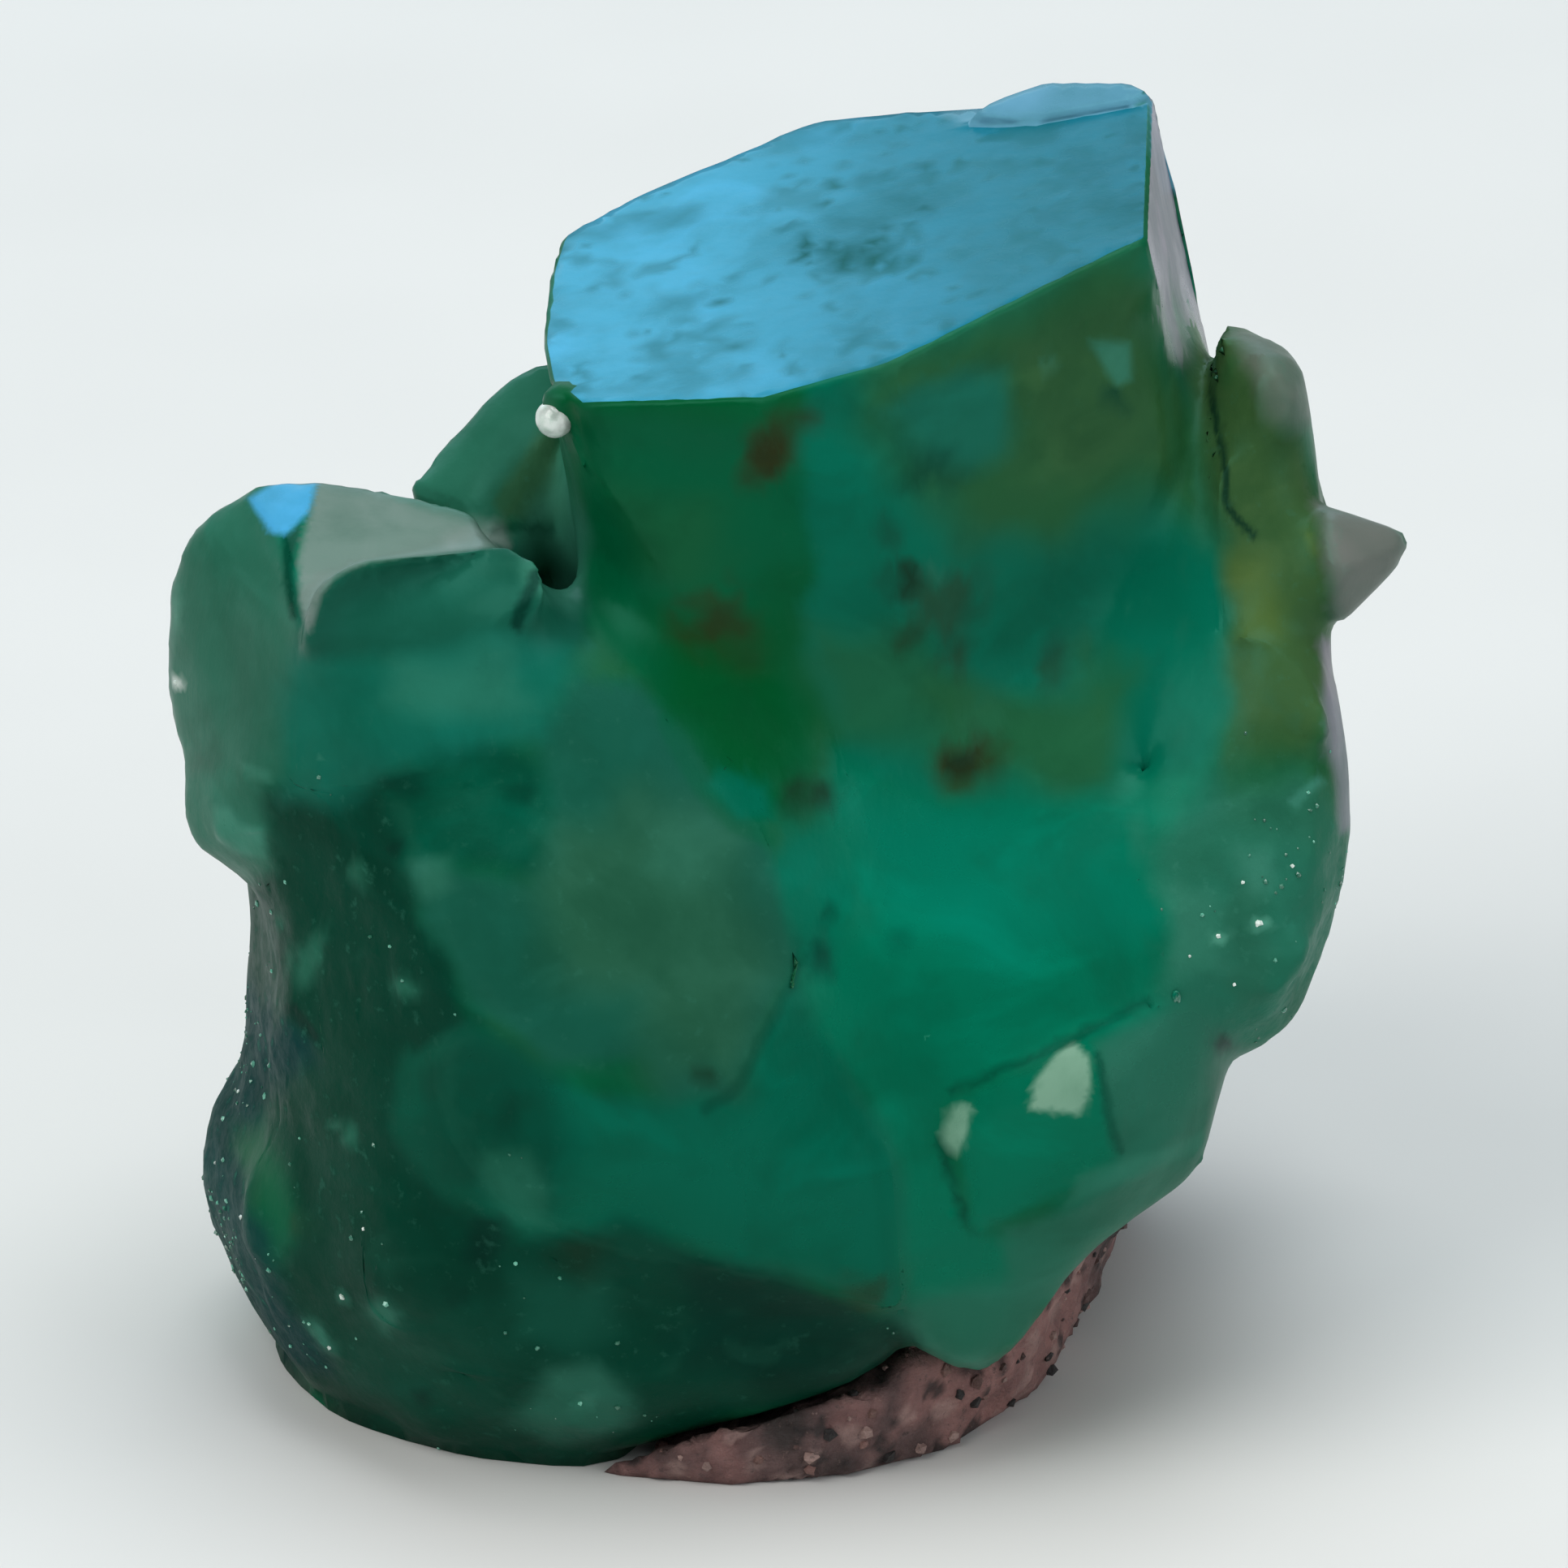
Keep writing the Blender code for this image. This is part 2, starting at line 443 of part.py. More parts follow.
def material(name, color, roughness, transmission):
    """Plain surface with the given look."""
    mat = bpy.data.materials.new(name)
    mat.use_nodes = True
    shader = mat.node_tree.nodes["Principled BSDF"]
    shader.inputs["Base Color"].default_value = (*color, 1.0)
    shader.inputs["Roughness"].default_value = roughness
    shader.inputs["Metallic"].default_value = 0.0
    shader.inputs["Transmission Weight"].default_value = transmission
    shader.inputs["IOR"].default_value = 1.57
    return mat


def make_crystals(bodies):
    """All crystals as one solid, cut flat at the base."""
    solids = []
    for index, (points, width) in enumerate(bodies):
        bm = convex(points)
        if index == 0:
            cleave(bm, from_view(*MAIN_BREAK_POINT), view_way(*MAIN_BREAK_WAY))
        wear(bm, width)
        solids.append(to_object(bm, "crystal_%02d" % index))
    body = solids[0]
    combine(body, solids[1:], "UNION")
    tree = surface_tree(body)
    plates = []
    for index, (u, v, wide, high, turn) in enumerate(LEDGES):
        spot, normal = surface_at(tree, u, v)
        bm = convex(ledge_points(index, spot, normal, wide, high, turn))
        wear(bm, EDGE_WEAR)
        plates.append(to_object(bm, "ledge_%02d" % index))
    combine(body, plates, "UNION")
    tree = surface_tree(body)
    grains = []
    for index, (u, v, size) in enumerate(GRAINS):
        spot, normal = surface_at(tree, u, v)
        grains.append(to_object(convex(grain_points(index, spot, normal, size)), "grain_%02d" % index))
    bm = bmesh.new()
    bmesh.ops.create_icosphere(bm, subdivisions=2, radius=CORNER_GRAIN_RADIUS * MM)
    bmesh.ops.translate(bm, verts=bm.verts, vec=surface_at(tree, *CORNER_GRAIN)[0])
    grains.append(to_object(bm, "corner_grain"))
    combine(body, grains, "UNION")
    bm = bmesh.new()
    bm.from_mesh(body.data)
    cleave(bm, Vector((0.0, 0.0, 0.0)), Vector((0.0, 0.0, -1.0)))
    bmesh.ops.remove_doubles(bm, verts=bm.verts, dist=1e-6)
    bmesh.ops.triangulate(bm, faces=bm.faces)
    bm.to_mesh(body.data)
    bm.free()
    body.name = "emerald_crystals"
    return body


def surface_tree(obj):
    """Search tree over the faces of the object."""
    bm = bmesh.new()
    bm.from_mesh(obj.data)
    tree = BVHTree.FromBMesh(bm)
    bm.free()
    return tree


def make_rock(bodies):
    """Crumbly rock round the roots of the crystals, hollowed where they stand in it."""
    bm = convex(ring_points(ROCK_RINGS))
    bmesh.ops.triangulate(bm, faces=bm.faces)
    for _ in range(4):
        long_edges = [e for e in bm.edges if e.calc_length() > ROCK_EDGE * MM]
        if not long_edges:
            break
        bmesh.ops.subdivide_edges(bm, edges=long_edges, cuts=1, use_grid_fill=False)
        bmesh.ops.triangulate(bm, faces=bm.faces)
    bm.normal_update()
    moves = []
    for vert in bm.verts:
        spot = vert.co / (ROCK_CRUMB_SIZE * MM)
        amount = noise.noise(spot) + 0.5 * noise.noise(spot * 2.3) + 0.25 * noise.noise(spot * 5.1)
        moves.append(vert.normal * amount * ROCK_CRUMB * MM)
    for vert, move in zip(bm.verts, moves):
        if vert.co.z > 1e-5:
            vert.co += move
    cleave(bm, Vector((0.0, 0.0, 0.0)), Vector((0.0, 0.0, -1.0)))
    rock = to_object(bm, "host_rock")
    sockets = []
    for index, (points, _) in enumerate(bodies):
        sockets.append(to_object(convex(grown(points, ROCK_GAP)), "socket_%02d" % index))
    combine(rock, sockets, "DIFFERENCE")
    keep_largest(rock)
    return rock


def build():
    """Both solids with their materials."""
    for obj in list(bpy.data.objects):
        bpy.data.objects.remove(obj, do_unlink=True)
    bodies = crystal_bodies()
    crystals = make_crystals(bodies)
    crystals.data.materials.clear()
    crystals.data.materials.append(material("emerald", (0.01, 0.12, 0.06), 0.25, 0.0))
    rock = make_rock(bodies)
    rock.data.materials.clear()
    rock.data.materials.append(material("host_rock", (0.16, 0.09, 0.08), 0.9, 0.0))


build()
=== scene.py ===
"""Emerald crystal cluster on a scrap of host rock: dense display meshes, painted zones, light, camera.

View millimetres below are right, up and away from the middle of the front view, which looks down
on the cluster at the photograph's angle.
"""
import math
from itertools import product

import bmesh
import bpy
import numpy as np
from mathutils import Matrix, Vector
from mathutils.bvhtree import BVHTree


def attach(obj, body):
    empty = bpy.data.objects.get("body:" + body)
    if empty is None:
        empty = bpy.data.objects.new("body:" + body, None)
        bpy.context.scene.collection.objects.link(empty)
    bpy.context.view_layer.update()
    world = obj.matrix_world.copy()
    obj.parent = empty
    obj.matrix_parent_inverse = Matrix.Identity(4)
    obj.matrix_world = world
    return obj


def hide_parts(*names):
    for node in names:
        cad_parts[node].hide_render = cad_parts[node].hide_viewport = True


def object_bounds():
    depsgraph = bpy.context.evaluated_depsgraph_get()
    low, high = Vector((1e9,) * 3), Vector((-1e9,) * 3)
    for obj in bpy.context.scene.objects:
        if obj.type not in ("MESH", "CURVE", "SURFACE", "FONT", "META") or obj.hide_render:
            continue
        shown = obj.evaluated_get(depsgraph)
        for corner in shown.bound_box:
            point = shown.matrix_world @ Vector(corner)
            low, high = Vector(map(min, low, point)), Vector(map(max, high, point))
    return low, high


MM = 0.001
VIEW_DROP = math.radians(25.0)
VIEW_CENTRE = np.array((-0.0505, -2.505, 15.251))
RIGHT = np.array((1.0, 0.0, 0.0))
UP = np.array((0.0, math.sin(VIEW_DROP), math.cos(VIEW_DROP)))
AWAY = np.array((0.0, math.cos(VIEW_DROP), -math.sin(VIEW_DROP)))
VIEW_WIDTH = 38.64
RAY_START = 40.0        # how far before the middle a ray along the view starts
FRONT_DEPTH = 3.0       # the marks of the front lie less far away than this
MAP_STEP = 0.2          # spacing of the depth map
NO_SURFACE = 99.0       # depth where the map has no surface
DEEPEST = 50.0          # more than any real depth
SLOT_DEPTH = 0.7        # a corner this far behind the eased front is hidden in a slot
SLOT_CELLS, PIT_CELLS = 5, 13               # slots and pits narrower than twice this are filled
BLUR_CELLS, WIDE_BLUR_CELLS = 4.0, 8.0      # reach of the easing, and of the gentle easing

# Longest triangle sides in millimetres: round after round on the crystals, near their marks, on the rock
SPACINGS = (4.0, 2.0, 1.0, 0.55)
MARK_SPACING = 0.22
ROCK_SPACING = 0.36
CLOSED_UNDER = 0.16     # shorter sides in the filled slots are closed up
SHARP_BORDER = 0.16     # patches softer than this need no fine triangles at their border
ON_FLOOR = 1e-3
LATTICE_SHIFT = 100000  # keeps the noise lattice's cell numbers positive
FAR = 1e9

BROKEN_GRAIN = 0.3      # zones with at least this grain are broken sides
BALL_RADIUS = 0.48
FROST_COUNT, FROST_SIZE = 260, 0.06
CRUMB_COUNT, CRUMB_SIZE = 700, 0.15

FLOOR_HALF, FLOOR_DROP = 2.0, -0.00002
LIGHT_DISTANCE, LIGHT_AIM = 0.5, Vector((0.0, 0.0, 0.015))
# Soft boxes: name, direction, size and power in metres and watts, colour
LIGHTS = [
    ("sky_box", (-0.164, 0.867, 0.472), (0.5, 0.34), 0.8, (0.6, 0.86, 1.0)),
    ("top_box", (0.15, 0.1, 1.0), (0.4, 0.4), 1.7, (0.97, 0.99, 1.0)),
    ("key_box", (-0.55, -0.45, 0.75), (0.35, 0.35), 1.4, (1.0, 0.99, 0.96)),
    ("fill_box", (0.8, -0.5, 0.35), (0.35, 0.35), 0.7, (0.96, 0.98, 1.0)),
]

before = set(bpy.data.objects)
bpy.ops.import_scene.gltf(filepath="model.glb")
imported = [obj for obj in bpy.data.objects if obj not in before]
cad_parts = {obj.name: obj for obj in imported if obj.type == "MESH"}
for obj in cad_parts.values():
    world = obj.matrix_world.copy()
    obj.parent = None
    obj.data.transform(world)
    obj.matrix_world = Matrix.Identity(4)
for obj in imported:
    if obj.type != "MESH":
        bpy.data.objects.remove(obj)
cad_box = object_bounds()


# ---------------------------------------------------------------- noise

def hashed(ix, iy, iz, seed):
    """Repeatable value from 0 to 1 at each lattice point."""
    with np.errstate(over="ignore"):
        h = ix.astype(np.uint32) * np.uint32(0x8da6b343)
        h ^= iy.astype(np.uint32) * np.uint32(0xd8163841)
        h ^= iz.astype(np.uint32) * np.uint32(0xcb1ab31f)
        h ^= np.uint32((seed * 0x9e3779b9) & 0xffffffff)
        h ^= h >> np.uint32(13)
        h *= np.uint32(0x5bd1e995)
        h ^= h >> np.uint32(15)
        h *= np.uint32(0x27d4eb2d)
        h ^= h >> np.uint32(13)
    return h.astype(np.float64) / 4294967295.0


def noise3(points, seed):
    """Smooth noise from -1 to 1, one lattice cell per unit."""
    base = np.floor(points)
    part = points - base
    fade = part * part * (3.0 - 2.0 * part)
    cell = base.astype(np.int64) + LATTICE_SHIFT
    total = np.zeros(len(points))
    for corner in product((0, 1), repeat=3):
        wi, wj, wk = np.where(corner, fade, 1.0 - fade).T
        total += wi * wj * wk * hashed(*(cell + corner).T, seed)
    return total * 2.0 - 1.0


def fractal(points, octaves, seed):
    """Layered noise, about -1 to 1."""
    total = np.zeros(len(points))
    size, amount, whole = 1.0, 1.0, 0.0
    for octave in range(octaves):
        total += amount * noise3(points * size + 17.3 * octave, seed + octave)
        whole += amount
        size *= 2.07
        amount *= 0.5
    return total / whole * 1.6


def cells(points, seed):
    """Distance to the nearest scattered seed point, distance to the next one, and that cell's value."""
    base = np.floor(points).astype(np.int64)
    near = np.full(len(points), 9.0)
    second = near.copy()
    value = np.zeros(len(points))
    for shift in product((-1, 0, 1), repeat=3):
        cell = base + shift
        offset = np.stack([hashed(*(cell + LATTICE_SHIFT).T, seed + more) for more in (0, 71, 131)], axis=1)
        dist = np.sqrt(((cell + offset - points) ** 2).sum(axis=1))
        closer = dist < near
        second = np.where(closer, near, np.minimum(second, dist))
        value = np.where(closer, hashed(*(cell + (7, LATTICE_SHIFT + 7, 9)).T, seed + 5), value)
        near = np.where(closer, dist, near)
    return near, second, value


def smooth(low, high, x):
    """Soft step from 0 at low to 1 at high."""
    t = np.clip((x - low) / (high - low), 0.0, 1.0)
    return t * t * (3.0 - 2.0 * t)


# ---------------------------------------------------------------- view and zones

def in_view(points_mm):
    """Right, up and away of points in millimetres."""
    rel = points_mm - VIEW_CENTRE
    return rel @ RIGHT, rel @ UP, rel @ AWAY


def path(*tenths):
    """Points of an outline or line in view millimetres, from right and up in tenths of a millimetre."""
    return np.array(tenths, dtype=float).reshape(-1, 2) / 10.0


def off_edge(u, v, ax, ay, bx, by):
    """Squared distance to the straight edge from a to b."""
    ex, ey = bx - ax, by - ay
    t = np.clip(((u - ax) * ex + (v - ay) * ey) / (ex * ex + ey * ey + 1e-12), 0.0, 1.0)
    return (u - ax - t * ex) ** 2 + (v - ay - t * ey) ** 2


def inside_by(u, v, outline):
    """Distance inside the outline, negative outside, in view millimetres."""
    best = np.full(len(u), FAR)
    odd = np.zeros(len(u), dtype=bool)
    for (ax, ay), (bx, by) in zip(outline, np.roll(outline, -1, axis=0)):
        best = np.minimum(best, off_edge(u, v, ax, ay, bx, by))
        if ay != by:
            crosses = (ay > v) != (by > v)
            odd ^= crosses & (u < (bx - ax) * (v - ay) / (by - ay) + ax)
    dist = np.sqrt(best)
    return np.where(odd, dist, -dist)


def srgb(r, g, b):
    """Linear colour of a display colour given 0 to 255."""
    out = []
    for c in (r, g, b):
        c /= 255.0
        out.append(c / 12.92 if c <= 0.04045 else ((c + 0.055) / 1.055) ** 2.4)
    return np.array(out)


# Named colours of the crystals
DEEP = srgb(0, 94, 57)
LEAF = srgb(0, 85, 37)
DARK = srgb(0, 58, 41)
NIGHT = srgb(2, 40, 30)
PINE = srgb(0, 98, 73)
SEA = srgb(0, 109, 84)
TEAL = srgb(0, 126, 99)
# the crystal's green lifted by painted glow of light passing through the front column and the stepped
# crystal
GREEN_AND_PAINTED_GLOW = srgb(0, 115, 85)
OLIVE = srgb(38, 92, 49)
MOSS = srgb(59, 94, 52)
STRAW = srgb(80, 107, 50)
BROWN = srgb(44, 44, 12)
UMBER = srgb(24, 42, 22)
MILK = srgb(40, 93, 68)
SMOKE = srgb(22, 91, 72)
HAZE = srgb(17, 110, 91)
JADE = srgb(40, 107, 85)
PALE = srgb(60, 130, 108)
# painted reflection of the sky on the end face, deeper blue towards the right
PAINTED_SKY = srgb(62, 156, 190)
PAINTED_SKY_RIGHT = srgb(22, 114, 136)
MOTTLE = srgb(30, 96, 100)
# painted reflection of the sky on a small facet of the left crystal
PAINTED_SKY_BLUE = srgb(70, 160, 205)
BEIGE = srgb(110, 131, 123)
# painted reflection of the sky on the right sliver of the end face and on the streak at the right edge
PAINTED_LILAC_REFLECTION = srgb(136, 130, 146)
# painted reflection of the sky on the step of the end face and its risers
PAINTED_SKY_SLAB = srgb(88, 146, 170)
CREAM = srgb(124, 166, 142)
# painted glint white, for the bead at the corner of the end face, the sparkle grains and one spot
PAINTED_GLINT_WHITE = srgb(222, 232, 226)
MINT = srgb(96, 172, 148)
SLATE = srgb(15, 57, 57)
GREY = srgb(103, 110, 103)

# Colours of the host rock's specks and crumbs, and where it is pinkest
SOOT = srgb(34, 30, 30)
CRUMB_COLORS = [srgb(40, 36, 36), srgb(140, 104, 96), srgb(170, 140, 132), srgb(90, 66, 62)]
PINK_ROCK = path(37, -120, 74, -110, 78, -135, 62, -164, 36, -166)

# Finishes of the crystals that come more than once: roughness, clearness, grain
PLAIN_FINISH = (0.34, 0.3, 0.12)
GLASSY = (0.34, 0.3, 0.05)
CLEARER = (0.34, 0.35, 0.05)
CLEAREST = (0.3, 0.45, 0.03)
POLISHED = (0.28, 0.45, 0.03)
CLOUDY = (0.34, 0.25, 0.1)
DULL = (0.36, 0.3, 0.08)

# Layers painted one over the other on the front: outline, softness in millimetres, colour, amount, finish
ZONES = [
    # main prism, left side, then the middle and the right side
    (path(-62, 96, 8, 96, 8, 13, 5, -4, -8, -11, -19, -2, -27, 10, -31, 24, -43, 35, -56, 45, -62, 65), 0.3,
     DEEP, 1.0, GLASSY),
    (path(-30, 44, 6, 46, 8, 10, 2, -3, -19, 0, -29, 16), 0.9, LEAF, 0.9, GLASSY),
    (path(-56, 87, -16, 86, 6, 90, 7, 96, -58, 96), 0.4, LEAF, 0.6, GLASSY),
    (path(-40, 70, -18, 70, -12, 56, -20, 49, -38, 54), 0.6, OLIVE, 0.35, GLASSY),
    (path(6, 98, 88, 134, 93, 134, 98, 110, 109, 81, 113, 59, 109, -7, 67, -3, 37, -4, 15, 6, 6, 33), 0.35,
     SEA, 1.0, CLEARER),
    (path(7, 82, 25, 82, 27, 54, 16, 44, 7, 48), 0.6, SEA, 0.8, CLEARER),
    (path(8, 39, 30, 36, 46, 20, 32, 10, 10, 11), 0.8, OLIVE, 0.6, GLASSY),
    (path(24, 103, 87, 132, 93, 109, 108, 81, 108, 60, 86, 66, 63, 56, 46, 60, 22, 88), 1.0, OLIVE, 0.95,
     DULL),
    (path(54, 104, 86, 116, 94, 94, 90, 76, 62, 74), 0.9, MOSS, 0.55, DULL),
    (path(26, 90, 44, 100, 53, 98, 55, 81, 43, 76, 30, 81), 0.45, HAZE, 0.85, GLASSY),
    (path(48, 56, 98, 60, 99, 39, 50, 30), 0.9, PINE, 0.8, CLEARER),
    (path(82, 26, 104, 24, 107, -15, 84, -16), 0.6, SEA, 0.9, (0.34, 0.4, 0.05)),
    (path(34, 22, 82, 24, 80, -1, 36, -2), 0.6, OLIVE, 0.75, GLASSY),
    (path(73.5, 107, 84.5, 108, 84.5, 99, 81, 97.5), 0.15, PALE, 0.8, (0.3, 0.2, 0.1)),
    # risers of the step on the end face, painted with the sky reflection of the step
    (path(30, 159, 30, 182, 100, 182, 100, 146, 93, 146, 88, 160), 0.1, PAINTED_SKY_SLAB, 1.0, (0.3, 0.1, 0.05)),
    # front column with its bright slanted top, its teal greens lifted by painted glow of light passing
    # through it
    (path(14, 7, 37, -3, 67, -3, 102, 2, 98, -19, 95, -55, 74, -63, 40, -76, 7, -67, 3, -45, 9, -12), 0.5,
     GREEN_AND_PAINTED_GLOW, 1.0, CLEAREST),
    (path(15, -3, 42, -6, 86, -8, 90, -39, 52, -43, 16, -29), 0.9, TEAL, 0.9, CLEAREST),
    (path(2, -47, 40, -74, 37, -90, 47, -110, 72, -114, 66, -126, 29, -129, 26, -91, 18, -73, -1, -54),
     0.35, GREEN_AND_PAINTED_GLOW, 1.0, CLEAREST),
    (path(-4, -22, 9, -10, 15, -26, 10, -46, 0, -44), 0.4, SEA, 0.9, GLASSY),
    (path(27, -127, 53, -121, 68, -117, 62, -136, 47, -149, 36, -147, 25, -135), 0.35, JADE, 0.95, (0.34,
     0.25, 0.2)),
    (path(26, -130, 31, -131, 39, -139, 50, -141, 49, -148, 34, -146), 0.25, PALE, 0.8, (0.34, 0.2, 0.2)),
    # dark flank and the smooth face below the milky block
    (path(-134, -4, -101, 9, -73, 13, -59, 3, -53, -27, -81, -19, -89, -33, -73, -57, -81, -91, -65, -109,
     -97, -119, -121, -107, -135, -67, -135, -27), 0.5, DARK, 1.0, (0.42, 0.2, 0.45)),
    (path(-94, 7, -57, 4, -54, -26, -78, -19, -90, -24), 0.6, PINE, 0.55, (0.4, 0.25, 0.2)),
    (path(-94, -66, -76, -58, -53, -72, -25, -78, -13, -77, 4, -47, 17, -73, 26, -91, 29, -128, 17, -124,
     -21, -111, -41, -106, -57, -109, -81, -102, -95, -84), 0.3, PINE, 1.0, POLISHED),
    # lighter teal middle of the smooth face: painted glow of light passing through it
    (path(-50, -80, 8, -70, 22, -90, 24, -116, -16, -106, -46, -100), 0.9, SEA, 0.6, POLISHED),
    (path(-94, -66, -76, -59, -56, -70, -50, -86, -56, -106, -81, -101, -95, -84), 0.7, DARK, 0.7, (0.3,
     0.4, 0.1)),
    (path(-73, -89, -63, -89, -57, -99, -59, -108, -68, -106, -73, -98), 0.35, JADE, 0.55, (0.4, 0.2, 0.4)),
    # foot band, its dark green a painted shadow under the ledge of the smooth face above it
    (path(-120, -109, -86, -106, -65, -110, -57, -109, -41, -107, -21, -112, 17, -125, 28, -128, 39, -146,
     27, -158, 11, -152, -13, -156, -33, -163, -53, -174, -105, -164, -135, -135), 0.35, DARK, 1.0, (0.42,
     0.25, 0.35)),
    # darkest painted shadow, right under the ledge
    (path(-24, -116, 17, -127, 28, -132, 34, -150, 4, -146, -22, -146), 0.6, NIGHT, 0.75, (0.4, 0.25, 0.2)),
    (path(-67, -120, -44, -120, -39, -134, -52, -142, -67, -136), 0.6, SMOKE, 0.5, (0.42, 0.2, 0.3)),
    (path(-59, -146, -46, -144, -37, -150, -42, -160, -57, -162, -66, -156), 0.4, PALE, 0.5, (0.42, 0.2,
     0.5)),
    (path(-106, -132, -70, -126, -66, -158, -99, -158), 0.9, SMOKE, 0.3, (0.42, 0.2, 0.3)),
    # milky block: whole, lit core, upper and lower parts
    (path(-62, 13, -49, 26, -35, 25, -26, 13, -16, -4, -7, -11, -2, -16, 0, -29, 4, -45, -5, -59, -13, -77,
     -27, -77, -33, -64, -55, -69, -74, -55, -89, -35, -87, -19, -76, -23, -61, -25, -57, -12, -59, 0), 0.3,
     SMOKE, 1.0, (0.4, 0.2, 0.25)),
    (path(-56, -9, -33, -4, -10, -13, -5, -30, -1, -47, -13, -73, -27, -71, -35, -50, -56, -46, -60, -26),
     0.9, MILK, 0.85, (0.4, 0.15, 0.25)),
    (path(-34, -10, -18, -9, -10, -16, -20, -23, -34, -22), 0.6, PALE, 0.35, (0.4, 0.15, 0.25)),
    (path(-89, -19, -81, -18, -80, -26, -86, -28), 0.3, PALE, 0.5, (0.4, 0.15, 0.4)),
    (path(-16, 3, -4, -1, -2, -8, -12, -9, -19, -2), 0.2, SEA, 0.9, (0.3, 0.3, 0.05)),
    # left crystal: side, front, under it, the lobe
    (path(-158, 13, -156, 53, -148, 72, -132, 74, -123, 62, -119, 45, -117, 38, -120, 13, -123, 1, -152, 1),
     0.25, JADE, 1.0, (0.36, 0.25, 0.15)),
    (path(-119, 47, -103, 55, -68, 59, -51, 64, -47, 34, -70, 26, -96, 31, -120, 29, -119, 38), 0.3, SMOKE,
     1.0, (0.32, 0.3, 0.05)),
    (path(-120, 31, -97, 33, -65, 34, -47, 34, -60, 10, -80, 6, -101, -2, -123, -4, -122, 17), 0.4, HAZE,
     0.9, (0.34, 0.3, 0.15)),
    (path(-94, 32, -66, 31, -62, 18, -82, 14, -96, 20), 0.5, PALE, 0.35, (0.36, 0.25, 0.3)),
    (path(-152, 5, -129, 3, -124, -19, -135, -26, -152, -21, -156, -7), 0.3, JADE, 1.0, (0.38, 0.2, 0.25)),
    (path(-140, -5, -136, -6, -133, -10, -127, -11, -126, -18, -134, -17, -139.5, -14), 0.12, PALE, 0.75,
     (0.3, 0.15, 0.2)),
    (path(-133, 5, -126, 3, -125, 0, -132, 1), 0.12, PALE, 0.7, (0.35, 0.2, 0.2)),
    # small facet of the left crystal: painted reflection of the sky
    (path(-131, 69.5, -119, 77, -113.5, 76, -116, 66, -121, 60.5, -125.5, 61.5), 0.1, PAINTED_SKY_BLUE, 1.0, (0.25, 0.1,
     0.03)),
    (path(-113.5, 77, -100, 76, -86, 71, -69, 65, -67, 57.5, -85, 56, -100, 54.5, -108, 51, -112, 46, -114,
     39, -115.5, 37, -118, 45, -118, 54, -116, 63), 0.1, BEIGE, 0.95, (0.34, 0.12, 0.1)),
    (path(-122, 60, -117.5, 63, -119.5, 52, -118.5, 40, -120.5, 40, -122, 50), 0.1, DARK, 0.9, (0.3, 0.2,
     0.05)),
    # crystal behind it on the left, with its lined facet, and painted light in the pocket beside it
    (path(-95, 71, -93, 76, -81, 93, -73, 103, -56, 110, -56, 97, -56, 66, -73, 62), 0.3, JADE, 1.0,
     CLOUDY),
    (path(-63, 84, -56, 94, -55, 64, -70, 64, -72, 69), 0.2, MOSS, 0.6, (0.38, 0.2, 0.3)),
    # painted light lifting the shaded pocket between the crystals
    (path(-65, 64, -54, 82, -49, 54, -51, 42, -60, 48, -67, 58), 0.3, PALE, 0.8, (0.4, 0.1, 0.1)),
    # right column, nub, spike, streak of painted sky reflection and frosted bulge
    (path(99, 118, 115, 113, 123, 93, 129, 84, 134, 65, 136, 30, 133, 8, 109, 5, 109, 61, 103, 81), 0.4,
     MOSS, 1.0, (0.38, 0.25, 0.2)),
    (path(109, 56, 120, 54, 122, 39, 110, 36), 0.5, STRAW, 0.7, (0.38, 0.25, 0.2)),
    (path(112, 112, 124, 111, 133, 103, 132, 92, 126, 88, 117, 91, 113, 101), 0.35, GREY, 0.75, (0.38, 0.2,
     0.2)),
    (path(130, 71, 159, 63, 137, 33, 133, 53), 0.25, GREY, 1.0, (0.34, 0.2, 0.2)),
    (path(106, 12, 134, 12, 139, -17, 105, -12), 0.6, OLIVE, 0.6, (0.4, 0.25, 0.4)),
    (path(90, -16, 103, -3, 129, 3, 144, -23, 132, -59, 121, -72, 106, -63, 92, -50), 0.5, JADE, 0.8, (0.42,
     0.2, 0.65)),
    (path(91, -26, 105, -27, 107, -44, 94, -47), 0.35, PALE, 0.5, (0.42, 0.2, 0.6)),
    (path(109, -17, 119, -16, 120, -26, 112, -28), 0.3, PALE, 0.6, (0.42, 0.2, 0.6)),
    (path(123, -4, 131, 2, 132, 0, 125, -6), 0.1, PALE, 0.9, (0.35, 0.2, 0.3)),
    # streak at the right edge: painted reflection of the sky
    (path(131.5, 36, 139, 33, 142, -9, 135.5, -12, 133.5, 13), 0.15, PAINTED_LILAC_REFLECTION, 0.7, (0.34, 0.2, 0.1)),
    # stepped crystal at the lower right, its green lifted by painted glow, with its two pale glints
    (path(40, -77, 76, -63, 82, -92, 47, -111), 0.2, GREEN_AND_PAINTED_GLOW, 1.0, (0.26, 0.4, 0.03)),
    (path(75, -64, 99, -52, 114, -67, 107, -96, 82, -94), 0.25, JADE, 0.9, (0.3, 0.35, 0.08)),
    (path(56, -110, 73, -103, 82, -93, 106, -86, 108, -98, 76, -114, 73, -124, 55, -122), 0.25, JADE, 0.9,
     CLOUDY),
    (path(72, -96, 84, -91, 102, -85, 102, -89, 82, -97, 70, -103), 0.15, PALE, 0.5, CLOUDY),
    (path(59.5, -79, 61, -72, 66, -66, 70, -63.5, 74, -67, 74.5, -74, 72, -80.5), 0.1, CREAM, 1.0, (0.24,
     0.1, 0.03)),
